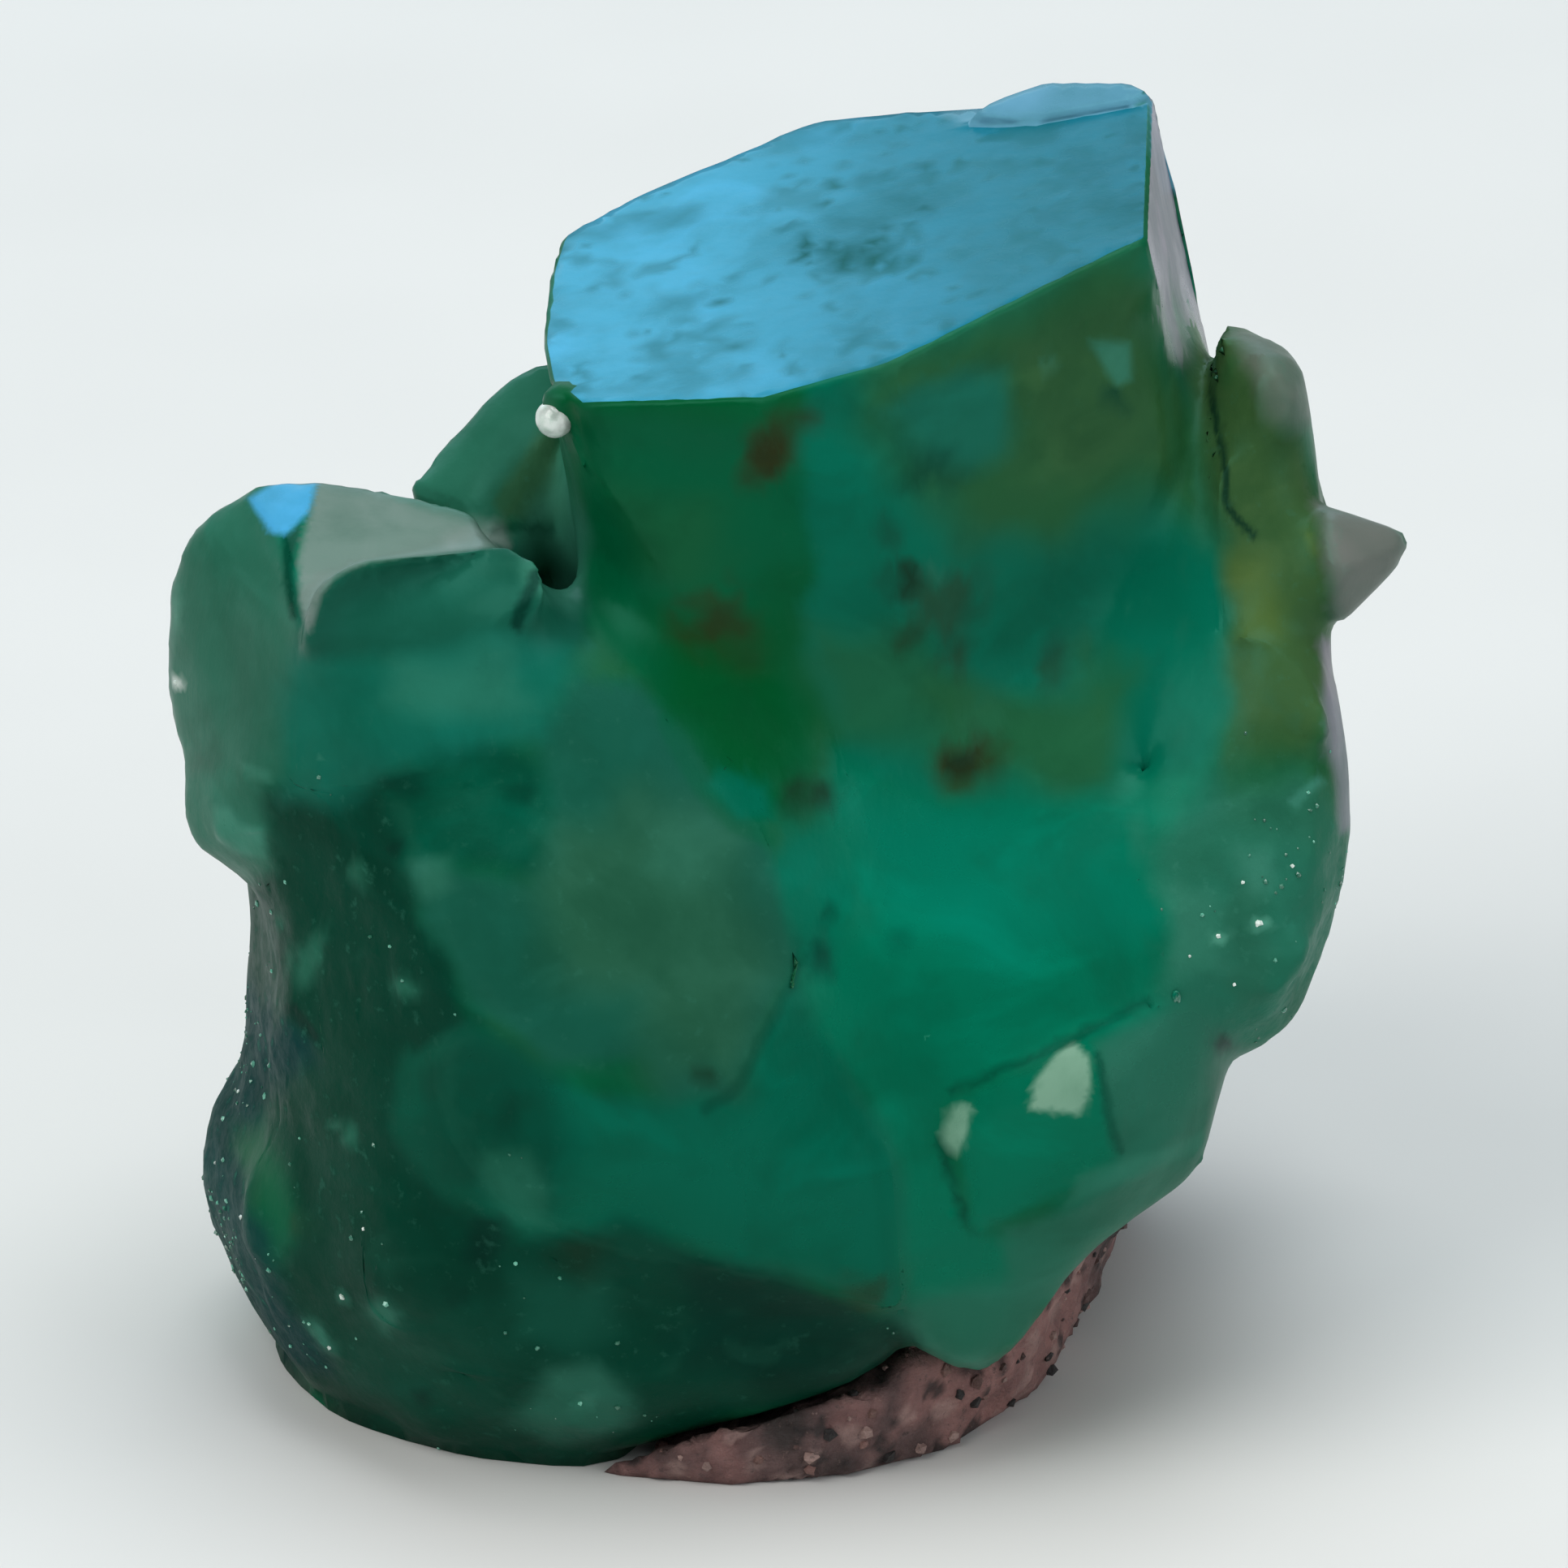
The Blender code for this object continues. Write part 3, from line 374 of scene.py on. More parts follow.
    (path(38, -85, 40, -80, 43, -77.5, 45.5, -78, 44.5, -85, 42, -91.5, 39, -89), 0.1, CREAM, 0.85, (0.24,
     0.1, 0.03)),
    # frosted rim at the left
    (path(-132, -46, -125, -57, -116, -62, -114, -69, -123, -71, -129, -79, -135, -90, -132, -105, -125,
     -120, -117, -134, -110, -146, -125, -144, -146, -114, -156, -88, -144, -66, -136, -56), 0.35, SLATE,
     0.95, (0.5, 0.12, 0.8)),
]

# Thin dark cracks and shaded seams: points, half width, colour, amount
LINES = [
    (path(104, 108, 105, 95, 108, 76, 108.5, 68, 111.5, 64, 114.5, 61), 0.09, NIGHT, 0.8),
    # the next two lines are painted shadow along the top and left edges of the stepped crystal
    (path(41, -75, 54, -69, 70, -62.5, 89, -53), 0.1, DARK, 0.5),
    (path(38, -86, 41, -96, 46, -109), 0.1, DARK, 0.6),
    (path(76, -66, 79, -78, 81.5, -90), 0.1, DARK, 0.5),
    (path(-60.5, 51, -62.5, 45, -64.5, 39), 0.16, NIGHT, 0.8),
    (path(-71, 62.5, -64, 63, -56, 63), 0.1, DARK, 0.5),
    (path(90.5, 139, 89.5, 131, 89, 166), 0.2, DEEP, 0.8),
    (path(-29, 15, -19, -2, -12, -10, -4, -13), 0.2, DEEP, 0.4),
    (path(-19, -79, -10, -72, 1, -50), 0.14, DARK, 0.4),
    (path(10, -74, 22, -90, 27, -126), 0.14, PINE, 0.6),
    (path(-121, -55, -117, -60, -115, -62), 0.14, NIGHT, 0.8),
]

# Facets picked by a place in the front view: place, allowed turn of the face in degrees, outline,
# colour, amount, finish
FACETS = [
    # the end face's sky blue is a painted reflection of the sky
    ("end face", (1.0, 13.0), 7.0, path(-66, 93, -52, 84, 5, 82, 110, 110, 110, 185, -66, 185), PAINTED_SKY, 1.0,
     (0.2, 0.1, 0.08)),
    # step facet: painted reflection of the sky
    ("step facet", (7.0, 17.0), 16.0, path(40, 163.5, 47, 163.5, 90, 167.5, 99, 168.5, 99, 180, 40, 180),
     PAINTED_SKY_SLAB, 0.9, (0.25, 0.15, 0.1)),
    # right sliver: painted reflection of the sky
    ("right sliver", (9.3, 12.6), 14.0, path(86, 180, 120, 180, 120, 102, 86, 102), PAINTED_LILAC_REFLECTION, 0.85, (0.3, 0.15,
     0.1)),
]

# Parts of the front whose edges stay crisp
CRISP = [
    path(-66, 94, -52, 86, -10, 83, 25, 92, 94, 122, 104, 120, 100, 180, 30, 180, -66, 145),
    path(-136, 80, -110, 80, -76, 72, -76, 59, -104, 50, -116, 34, -124, 58),
    path(130, 70, 160, 64, 136, 34),
]

# Parts of the front where one crystal runs into the next without a step
GENTLE = [
    path(-126, 26, -96, 30, -52, 36, -34, 28, -18, 6, 8, 8, 37, 9, 76, 6, 104, 12, 122, 8, 110, -42, 78,
     -50, 34, -70, 29, -120, -30, -116, -88, -106, -124, -60, -130, -10),
]

# Wide pits between crystals that are filled
PITS = [
    path(-72, 30, -42, 30, -44, 84, -59, 86, -76, 72),
    path(68, -6, 98, -6, 98, 26, 68, 26),
]

# Soft inclusions and frosty spots, with a few painted glints and pits painted as shade: place, half width,
# half height, turn in degrees, colour, amount
SPOTS = [
    (-0.2, 8.3, 0.75, 1.6, -32.0, BROWN, 0.8), (-0.4, 7.75, 1.0, 0.6, 12.0, BROWN, 0.95),
    (-1.9, 3.8, 1.3, 1.0, 0.0, BROWN, 0.8), (-1.0, 3.0, 0.9, 0.8, 0.0, BROWN, 0.3),
    (3.7, 7.7, 1.2, 0.7, 0.0, DARK, 0.7), (2.9, 4.9, 0.75, 0.55, -15.0, UMBER, 0.9),
    (3.8, 4.2, 1.3, 1.3, 0.0, BROWN, 0.6), (2.6, 6.1, 0.4, 0.5, 0.0, UMBER, 0.4),
    (4.5, 0.6, 1.15, 0.85, 10.0, BROWN, 0.95), (4.4, 0.6, 0.5, 0.4, 0.0, UMBER, 0.8),
    (6.6, 2.9, 0.4, 0.75, 0.0, UMBER, 0.6), (7.6, 2.7, 1.2, 1.0, 0.0, OLIVE, 0.5),
    (0.7, -0.4, 0.85, 0.85, 0.0, UMBER, 0.85), (0.8, -4.1, 0.6, 0.6, 0.0, NIGHT, 0.75),
    (1.0, -3.1, 0.35, 0.35, 0.0, DARK, 0.6), (2.9, -3.8, 0.4, 0.4, 0.0, PINE, 0.7),
    (8.1, 9.5, 0.7, 0.2, -45.0, DARK, 0.7), (3.5, 5.1, 0.4, 0.3, 0.0, PALE, 0.35),
    (6.4, 10.2, 0.25, 0.3, 0.0, PALE, 0.4), (-1.9, -7.1, 0.5, 0.35, 0.0, UMBER, 0.7),
    (-6.8, -8.1, 0.4, 0.8, 0.0, DARK, 0.8), (-9.1, 0.0, 0.8, 0.5, -20.0, NIGHT, 0.6),
    (-9.5, -1.4, 0.35, 0.35, 0.0, NIGHT, 0.7), (-6.3, -0.2, 0.6, 0.45, 0.0, DARK, 0.7),
    # the NIGHT spot at -7.3, -11.3 is painted shade of a pit
    (-7.3, -11.3, 0.7, 0.6, 0.0, NIGHT, 0.85), (-4.8, -11.5, 1.0, 0.8, 0.0, UMBER, 0.6),
    (-8.9, -15.0, 0.35, 0.3, 0.0, NIGHT, 0.8), (-8.0, -12.5, 0.4, 0.3, 0.0, NIGHT, 0.6),
    (-2.6, -13.8, 0.7, 1.0, 0.0, NIGHT, 0.4), (2.1, -12.4, 0.7, 0.6, 0.0, BROWN, 0.6),
    # the NIGHT spot at 10.7, -6.35 is painted shade of a pit
    (10.7, -6.35, 0.5, 0.35, -10.0, NIGHT, 0.95), (-14.2, 0.6, 0.5, 0.6, 0.0, UMBER, 0.3),
    (-11.7, -4.3, 0.5, 0.9, -12.0, JADE, 0.8), (-9.2, -4.95, 0.5, 0.38, 0.0, JADE, 0.8),
    (-8.5, -2.3, 0.45, 0.5, 0.0, JADE, 0.7), (-10.4, -2.2, 0.35, 0.4, 40.0, JADE, 0.7),
    (-12.5, -3.5, 0.3, 0.5, -20.0, JADE, 0.7), (-10.6, -8.6, 0.25, 0.4, 0.0, JADE, 0.8),
    (-11.0, -8.3, 0.3, 0.2, 0.0, JADE, 0.6), (-9.8, -13.0, 0.55, 0.4, -30.0, PALE, 0.6),
    (-10.8, -12.6, 0.3, 0.25, 0.0, PALE, 0.6), (-11.4, -13.6, 0.7, 0.3, -50.0, PALE, 0.7),
    # the MINT spots at 11.6, -3.4 and 10.6, -3.7 are painted glints
    (-4.9, -15.2, 0.5, 0.25, 25.0, PALE, 0.5), (11.6, -3.4, 0.36, 0.24, 0.0, MINT, 0.8),
    (10.6, -3.7, 0.25, 0.2, 0.0, MINT, 0.9), (8.6, -1.4, 0.2, 0.5, 20.0, PALE, 0.6),
    (13.0, 5.9, 0.25, 0.4, 10.0, STRAW, 0.9), (11.0, 10.1, 0.4, 0.5, -30.0, OLIVE, 0.5),
    # the white spot at -14.95, 2.5 is a painted glint
    (-14.95, 2.5, 0.28, 0.2, 0.0, PAINTED_GLINT_WHITE, 0.9), (-15.0, 4.2, 0.35, 1.0, 0.0, MINT, 0.4),
    (-11.2, 0.7, 0.2, 0.12, 0.0, MINT, 0.6)]

# Middle of the white bead at the corner of the end face, a painted highlight
BALL = (-5.58, 8.88)

# Darker mottles in the end face: place, half width, half height, turn in degrees, amount
MOTTLES = [
    (1.2, 13.0, 0.9, 0.7, -5.0, 0.8), (2.4, 12.7, 1.1, 0.6, -14.0, 0.85), (-2.4, 10.6, 1.7, 0.8, 8.0, 0.5),
    (4.0, 15.2, 1.7, 0.3, 5.0, 0.6), (-2.0, 12.1, 0.8, 0.4, 0.0, 0.5), (5.6, 13.0, 1.8, 1.2, 20.0, 0.3),
    (7.4, 14.6, 1.4, 1.8, 0.0, 0.3), (1.0, 14.6, 0.4, 0.25, 0.0, 0.6), (-0.4, 11.6, 0.5, 0.25, 10.0, 0.4),
    (3.4, 13.9, 0.4, 0.2, 0.0, 0.6), (6.0, 15.4, 0.5, 0.2, 0.0, 0.5), (-4.2, 12.4, 0.5, 0.3, 0.0, 0.3)]

# Tiny white grains on the frosted parts, standing for painted glints: place, size in millimetres
SPARKLES = [
    (-12.98, -2.95, 0.14), (-13.1, -6.9, 0.17), (-12.8, -7.7, 0.15), (-12.9, -6.2, 0.1), (-12.6, -4.6, 0.1),
    (-10.85, -12.6, 0.15), (-9.75, -12.75, 0.16), (-11.7, -13.3, 0.12), (-12.2, -13.9, 0.12),
     (-13.4, -10.7, 0.12),
    (-11.2, -13.9, 0.12), (-13.9, -8.3, 0.12), (-14.1, -9.4, 0.1), (-13.5, -7.6, 0.1), (11.6, -3.4, 0.18),
    (10.6, -3.7, 0.12), (10.2, -3.2, 0.1), (11.2, -2.4, 0.1), (12.4, -2.0, 0.1), (12.8, -0.2, 0.1),
    (-14.95, 2.5, 0.13), (-9.3, -4.8, 0.1), (-10.3, -10.9, 0.1), (-8.0, -5.6, 0.08), (-12.2, -2.4, 0.1),
    (-5.0, -15.2, 0.12), (-11.9, -8.7, 0.08), (11.0, -4.9, 0.1), (12.0, -4.3, 0.1), (9.9, -4.2, 0.08)]


# ---------------------------------------------------------------- meshes

def welded(name):
    """Corner positions in millimetres and triangles of a CAD node, with shared corners."""
    bm = bmesh.new()
    bm.from_mesh(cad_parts[name].data)
    bmesh.ops.remove_doubles(bm, verts=bm.verts, dist=1.5e-6)
    bmesh.ops.dissolve_limit(bm, angle_limit=math.radians(0.4), verts=bm.verts, edges=bm.edges)
    bmesh.ops.triangulate(bm, faces=bm.faces)
    tree = BVHTree.FromBMesh(bm)
    bm.verts.index_update()
    co = np.array([v.co[:] for v in bm.verts]) / MM
    tri = np.array([[v.index for v in f.verts] for f in bm.faces])
    bm.free()
    return co, tri, tree


def edge_list(tri):
    """Corner pairs of every edge once, and the edge of each triangle side."""
    sides = np.concatenate((tri[:, (0, 1)], tri[:, (1, 2)], tri[:, (2, 0)]))
    pairs = np.sort(sides, axis=1).astype(np.int64)
    count = int(tri.max()) + 1
    keys, back = np.unique(pairs[:, 0] * count + pairs[:, 1], return_inverse=True)
    return np.stack((keys // count, keys % count), axis=1), back.reshape(-1)


def refined(co, tri, longest, finest=None):
    """Halves the longest side of triangles over the given millimetres, near marks over the finest."""
    for _ in range(60):
        edges, back = edge_list(tri)
        length = np.sqrt(((co[edges[:, 0]] - co[edges[:, 1]]) ** 2).sum(axis=1))
        wanted = length > longest
        if finest is not None and length.max() < 1.5 * longest:
            fine = np.flatnonzero((length > finest) & ~wanted)
            wanted[fine] = near_marks(0.5 * (co[edges[fine, 0]] + co[edges[fine, 1]]))
        sides = back.reshape(3, -1).T
        top = sides[np.arange(len(tri)), (length[sides] * (1.0 + wanted[sides])).argmax(axis=1)]
        split = np.zeros(len(edges), dtype=bool)
        split[top[wanted[top]]] = True
        if not split.any():
            break
        middle = np.full(len(edges), -1)
        middle[split] = len(co) + np.arange(split.sum())
        co = np.concatenate((co, 0.5 * (co[edges[split, 0]] + co[edges[split, 1]])))
        mids = middle[sides]
        count = (mids >= 0).sum(axis=1)
        parts = [tri[count == 0]]
        for turn in range(3):
            a, b, c = tri[:, turn], tri[:, (turn + 1) % 3], tri[:, (turn + 2) % 3]
            m, n = mids[:, turn], mids[:, (turn + 1) % 3]
            one = (count == 1) & (m >= 0)
            parts += [np.stack((a, m, c), 1)[one], np.stack((m, b, c), 1)[one]]
            two = (count == 2) & (m >= 0) & (n >= 0)
            parts += [np.stack((m, b, n), 1)[two], np.stack((a, m, n), 1)[two], np.stack((a, n, c), 1)[two]]
        three = count == 3
        a, b, c = tri[three].T
        m, n, o = mids[three].T
        parts += [np.stack(p, 1) for p in ((a, m, o), (m, b, n), (o, n, c), (m, n, o))]
        tri = np.concatenate(parts)
    return co, tri


def evened(co, tri):
    """Same surface with better shaped triangles inside its flat parts."""
    mesh = bpy.data.meshes.new("draft")
    mesh.from_pydata(co.tolist(), [], tri.tolist())
    bm = bmesh.new()
    bm.from_mesh(mesh)
    bpy.data.meshes.remove(mesh)
    flat = [e for e in bm.edges if len(e.link_faces) == 2 and e.calc_face_angle() < 0.01]
    bmesh.ops.beautify_fill(bm, faces=bm.faces, edges=flat, method="ANGLE")
    tri = np.array([[v.index for v in f.verts] for f in bm.faces])
    bm.free()
    return co, tri


def thinned(co, tri, loose, least):
    """Triangles left once the edges under the given millimetres between loose corners are closed up."""
    for _ in range(8):
        a, b = edge_list(tri)[0].T
        short = loose[a] & loose[b] & (((co[a] - co[b]) ** 2).sum(axis=1) < least ** 2)
        a, b = a[short], b[short]
        order = np.arange(len(a))
        first = np.full(len(co), len(a))
        np.minimum.at(first, a, order)
        np.minimum.at(first, b, order)
        won = (first[a] == order) & (first[b] == order)
        into = np.arange(len(co))
        into[b[won]] = a[won]
        tri = into[tri]
        tri = tri[(tri[:, 0] != tri[:, 1]) & (tri[:, 1] != tri[:, 2]) & (tri[:, 2] != tri[:, 0])]
    _, where, times = np.unique(np.sort(tri, axis=1), axis=0, return_inverse=True, return_counts=True)
    return tri[times[where.reshape(-1)] == 1]


def near_marks(spots):
    """Front places close to a thin line or to the border of a sharply bounded patch."""
    u, v, d = in_view(spots)
    mask = np.zeros(len(u), dtype=bool)
    for points, half, _, _ in LINES:
        chosen = near_box(u, v, points, 0.5) & (d < FRONT_DEPTH)
        mask[chosen] |= near_line(u[chosen], v[chosen], points, half + 0.12) > 0.0
    for outline, soft, *_ in ZONES:
        if soft < SHARP_BORDER:
            chosen = near_box(u, v, outline, 0.5) & (d < FRONT_DEPTH)
            mask[chosen] |= np.abs(inside_by(u[chosen], v[chosen], outline)) < 0.2
    return mask


def face_cross(co, tri):
    """Face directions, as long as twice the area."""
    return np.cross(co[tri[:, 1]] - co[tri[:, 0]], co[tri[:, 2]] - co[tri[:, 0]])


def face_normals(co, tri):
    """Unit face directions and areas."""
    cross = face_cross(co, tri)
    length = np.sqrt((cross ** 2).sum(axis=1))
    return cross / np.maximum(length, 1e-12)[:, None], 0.5 * length


def summed(index, values, count):
    """Sum of the value rows at each index."""
    return np.stack([np.bincount(index, weights=values[:, k], minlength=count) for k in range(3)], axis=1)


def vertex_normals(co, tri):
    """Unit corner directions, weighted by area."""
    cross = face_cross(co, tri)
    total = sum(summed(tri[:, k], cross, len(co)) for k in range(3))
    return total / np.maximum(np.sqrt((total ** 2).sum(axis=1)), 1e-12)[:, None]


def relaxed(co, edges, rounds, amount):
    """Positions moved towards the mean of their neighbours."""
    a, b = edges.T
    count = np.bincount(a, minlength=len(co)) + np.bincount(b, minlength=len(co))
    for _ in range(rounds):
        total = summed(a, co[b], len(co)) + summed(b, co[a], len(co))
        co = co + amount * (total / np.maximum(count, 1.0)[:, None] - co)
    return co


def mix(base, other, amount):
    """Blend of two arrays of rows."""
    amount = np.asarray(amount)
    if amount.ndim == 1:
        amount = amount[:, None]
    return base * (1.0 - amount) + other * amount


def blurred(grid, reach):
    """Grid smoothed both ways by a bell curve of the given reach in cells."""
    half = int(reach * 3) + 1
    bell = np.exp(-0.5 * (np.arange(-half, half + 1) / reach) ** 2)
    bell /= bell.sum()
    for axis in (0, 1):
        grid = np.apply_along_axis(np.convolve, axis, grid, bell, mode="same")
    return grid


def cast(tree, u, v):
    """What a ray along the view meets at a place of the front view."""
    start = (VIEW_CENTRE + RIGHT * u + UP * v - AWAY * RAY_START) * MM
    return tree.ray_cast(Vector(start), Vector(AWAY))


def front_map(tree):
    """Depth of the front surface on a grid of the front view, and where there is one."""
    us, vs = np.arange(-17.0, 17.0, MAP_STEP), np.arange(-18.5, 18.5, MAP_STEP)
    depth = np.zeros((len(vs), len(us)))
    shown = np.zeros(depth.shape, dtype=bool)
    for j, v in enumerate(vs):
        for i, u in enumerate(us):
            found = cast(tree, u, v)[3]
            if found is not None:
                depth[j, i] = found / MM - RAY_START
                shown[j, i] = True
    return us, vs, depth, shown


def sampled(us, vs, grid, u, v):
    """Grid values between its points."""
    step = us[1] - us[0]
    x = np.clip((u - us[0]) / step, 0.0, len(us) - 1.001)
    y = np.clip((v - vs[0]) / step, 0.0, len(vs) - 1.001)
    i, j = x.astype(int), y.astype(int)
    fx, fy = x - i, y - j
    return (grid[j, i] * (1 - fx) * (1 - fy) + grid[j, i + 1] * fx * (1 - fy)
            + grid[j + 1, i] * (1 - fx) * fy + grid[j + 1, i + 1] * fx * fy)


def covered(u, v, outlines, soft):
    """Soft mask of the places inside any of the outlines."""
    mask = np.zeros(len(u))
    for outline in outlines:
        mask = np.maximum(mask, smooth(-soft, soft, inside_by(u, v, outline)))
    return mask


def crisp_mask(u, v):
    """Where the front keeps its sharp edges."""
    return covered(u, v, CRISP, 0.5)


def slid(grid, reach, pick):
    """Grid with the least or greatest value within reach cells."""
    for axis in (0, 1):
        best = grid.copy()
        for shift in range(1, reach + 1):
            best = pick(best, pick(np.roll(grid, shift, axis), np.roll(grid, -shift, axis)))
        grid = best
    return grid


def eased(co, edges, facing, tree):
    """Front relief with filled slots, soft hollows and rounded steps between grown-together crystals."""
    us, vs, depth, shown = front_map(tree)
    hit = shown.astype(float)
    behind = np.where(shown, depth, NO_SURFACE)
    closed = slid(slid(behind, SLOT_CELLS, np.minimum), SLOT_CELLS, np.maximum)
    filled = slid(slid(behind, PIT_CELLS, np.minimum), PIT_CELLS, np.maximum)
    pit = covered(*[axis.reshape(-1) for axis in np.meshgrid(us, vs)], PITS, 0.3)
    closed = closed + (filled - closed) * pit.reshape(closed.shape)
    closed = np.where(shown, np.minimum(depth, closed), 0.0)
    slot = slid(((depth - closed > SLOT_DEPTH) & shown).astype(float), 1, np.maximum)
    bottom = slid(np.where(shown, depth, -NO_SURFACE), 2, np.maximum)
    cover = blurred(hit, BLUR_CELLS)
    soft = blurred(closed, BLUR_CELLS) / np.maximum(cover, 1e-6)
    wide = blurred(closed, WIDE_BLUR_CELLS) / np.maximum(blurred(hit, WIDE_BLUR_CELLS), 1e-6)
    u, v, d = in_view(co)
    front, own, soft, wide, cover, slot, bottom = (
        sampled(us, vs, grid, u, v)
        for grid in (slid(behind, 1, np.minimum), behind, soft, wide, cover, slot, bottom))
    gentle, crisp, ball = covered(u, v, GENTLE, 1.0), crisp_mask(u, v), near_ball(co, tree)
    goal = soft * (1.0 - gentle) + wide * gentle
    within = np.maximum(1.0 - smooth(5.0, 7.0, d - front), 1.0 - smooth(0.5, 1.5, np.abs(d - own)))
    within *= smooth(0.72, 0.97, cover) * (1.0 - crisp)
    within = np.where(front > DEEPEST, 0.0, within) * (1.0 - ball)
    move = np.clip(goal - d, -10.0, 5.0) * within * smooth(-0.35, -0.1, facing)
    moved = co + AWAY * move[:, None]
    hidden = (d + move - goal > SLOT_DEPTH) & (within > 0.6)
    in_slot = (slot > 0.3) & (d < bottom + 0.5) & (d - goal > SLOT_DEPTH)
    hidden |= in_slot & (crisp < 0.5) & (ball < 0.5)
    for _ in range(3):
        hidden[edges[hidden[edges].any(axis=1)].reshape(-1)] = True
    hidden &= (within > 0.3) | in_slot
    return spanned(moved, edges, hidden), hidden


def near_ball(spots, tree):
    """Mask of the white bead that stands for a painted highlight."""
    middle = seen(tree, BALL)[0] + AWAY * 0.45
    return 1.0 - smooth(0.6, 0.75, np.sqrt(((spots - middle) ** 2).sum(axis=1)))


def spanned(co, edges, loose):
    """Positions with the loose corners spread as a skin between the fixed corners round them."""
    a, b = edges[loose[edges].any(axis=1)].T
    count = np.bincount(a, minlength=len(co)) + np.bincount(b, minlength=len(co))

    def pull(rows):
        total = count[:, None] * rows - summed(a, rows[b], len(co)) - summed(b, rows[a], len(co))
        return np.where(loose[:, None], total, 0.0)

    rest = -pull(co)
    step = rest.copy()
    size = (rest ** 2).sum(axis=0)
    for _ in range(400):
        slope = pull(step)
        reach = size / np.maximum((step * slope).sum(axis=0), 1e-30)
        co = co + step * reach
        rest = rest - slope * reach
        after = (rest ** 2).sum(axis=0)
        if after.max() < 1e-6:
            break
        step = rest + step * (after / np.maximum(size, 1e-30))
        size = after
    return co


def blob(u, v, spot):
    """Soft oval mask from a row of place, half width, half height and turn."""
    turn = math.radians(spot[4])
    du, dv = u - spot[0], v - spot[1]
    a = (du * math.cos(turn) + dv * math.sin(turn)) / spot[2]
    b = (-du * math.sin(turn) + dv * math.cos(turn)) / spot[3]
    return 1.0 - smooth(0.15, 1.15, np.sqrt(a * a + b * b))


def near_line(u, v, points, half):
    """Mask along an open line."""
    best = np.full(len(u), FAR)
    for (ax, ay), (bx, by) in zip(points, points[1:]):
        best = np.minimum(best, off_edge(u, v, ax, ay, bx, by))
    return 1.0 - smooth(0.4 * half, 1.6 * half, np.sqrt(best))


def seen(tree, place):
    """Spot in millimetres and face direction seen at a place of the front view."""
    hit = cast(tree, *place)
    return np.array(hit[0]) / MM, np.array(hit[1])


def lay(tint, look, mask, chosen, color, amount, finish=None):
    """Paints one layer on the chosen corners."""
    tint[chosen] = mix(tint[chosen], color, amount * mask)
    if finish is not None:
        look[chosen, :3] = mix(look[chosen, :3], np.array(finish), mask)


def near_box(u, v, points, margin):
    """Corners inside the box round the points."""
    low, high = np.min(points, axis=0) - margin, np.max(points, axis=0) + margin
    return (u > low[0]) & (u < high[0]) & (v > low[1]) & (v < high[1])


def wobble(places, octaves, *seeds):
    """Columns of noise that shift a pattern right and up."""
    return np.stack([fractal(places, octaves, seed) for seed in seeds], axis=1)


def paint_crystals(spots, normals):
    """Colour and look of the crystals at every corner, without the sharply bounded facets."""
    facing = -(normals @ AWAY)
    u, v, _ = in_view(spots)
    tint = np.tile(DEEP, (len(spots), 1))
    look = np.tile((*PLAIN_FINISH, 0.0), (len(spots), 1))
    cloud = fractal(spots / 4.2, 3, 31)
    veil = fractal(spots / 2.2, 3, 37)
    for color, mask in ((SEA, smooth(-0.1, 0.6, cloud)), (SMOKE, 0.6 * smooth(0.1, 0.7, -cloud)),
                        (OLIVE, 0.45 * smooth(0.2, 0.8, veil)), (BROWN, 0.5 * smooth(0.5, 0.9, -veil)),
                        (MILK, 0.4 * smooth(0.3, 0.8, fractal(spots / 3.0, 2, 43)))):
        tint = mix(tint, color, mask)
    warp = wobble(spots / 1.8, 2, 11, 23)
    front = smooth(-0.15, 0.15, facing)
    shown = front > 0.0
    frontal = smooth(0.1, 0.4, facing)
    for outline, soft, color, amount, finish in ZONES:
        chosen = shown & near_box(u, v, outline, soft + 0.5)
        shift = warp[chosen] * min(0.45, 0.7 * soft)
        inside = inside_by(u[chosen] + shift[:, 0], v[chosen] + shift[:, 1], outline)
        lay(tint, look, smooth(-soft, soft, inside) * front[chosen], chosen, color, amount, finish)
    jitter = wobble(spots / 0.7, 3, 13, 29)
    for row in SPOTS:
        chosen = shown & near_box(u, v, [row[:2]], 1.5 * max(row[2:4]))
        shift = jitter[chosen] * 0.55 * min(row[2:4])
        mask = blob(u[chosen] + shift[:, 0], v[chosen] + shift[:, 1], row)
        lay(tint, look, mask * frontal[chosen], chosen, row[5], row[6])
    for points, half, color, amount in LINES:
        chosen = shown & near_box(u, v, points, 2.0 * half)
        shift = jitter[chosen] * 0.08
        mask = near_line(u[chosen] + shift[:, 0], v[chosen] + shift[:, 1], points, half)
        lay(tint, look, mask * frontal[chosen], chosen, color, amount)
    return tint, look


def mottled(spots, u, v, color):
    """Colours of the end face, a painted sky reflection turning deeper blue to the right, and how far the
    darker mottles cover it.
    """
    warp = wobble(spots / 0.8, 4, 11, 23)
    color = mix(np.tile(color, (len(spots), 1)), PAINTED_SKY_RIGHT, smooth(-4.0, 6.0, u))
    patch = np.zeros(len(spots))
    for row in MOTTLES:
        spot = blob(u + 1.1 * warp[:, 0], v + 0.6 * warp[:, 1], row)
        patch = 1.0 - (1.0 - patch) * (1.0 - 1.3 * row[5] * spot)
    patch = np.clip(patch * (0.75 + 0.6 * fractal(spots / 0.35, 3, 59)), 0.0, 1.0)
    patch = np.maximum(patch, 0.42 * smooth(-0.1, 0.7, fractal(spots / 1.5, 5, 83)))
    patch = np.maximum(patch, 0.5 * smooth(0.3, 0.7, fractal(spots / 0.5, 3, 89)))
    return mix(color, MOTTLE, patch), patch


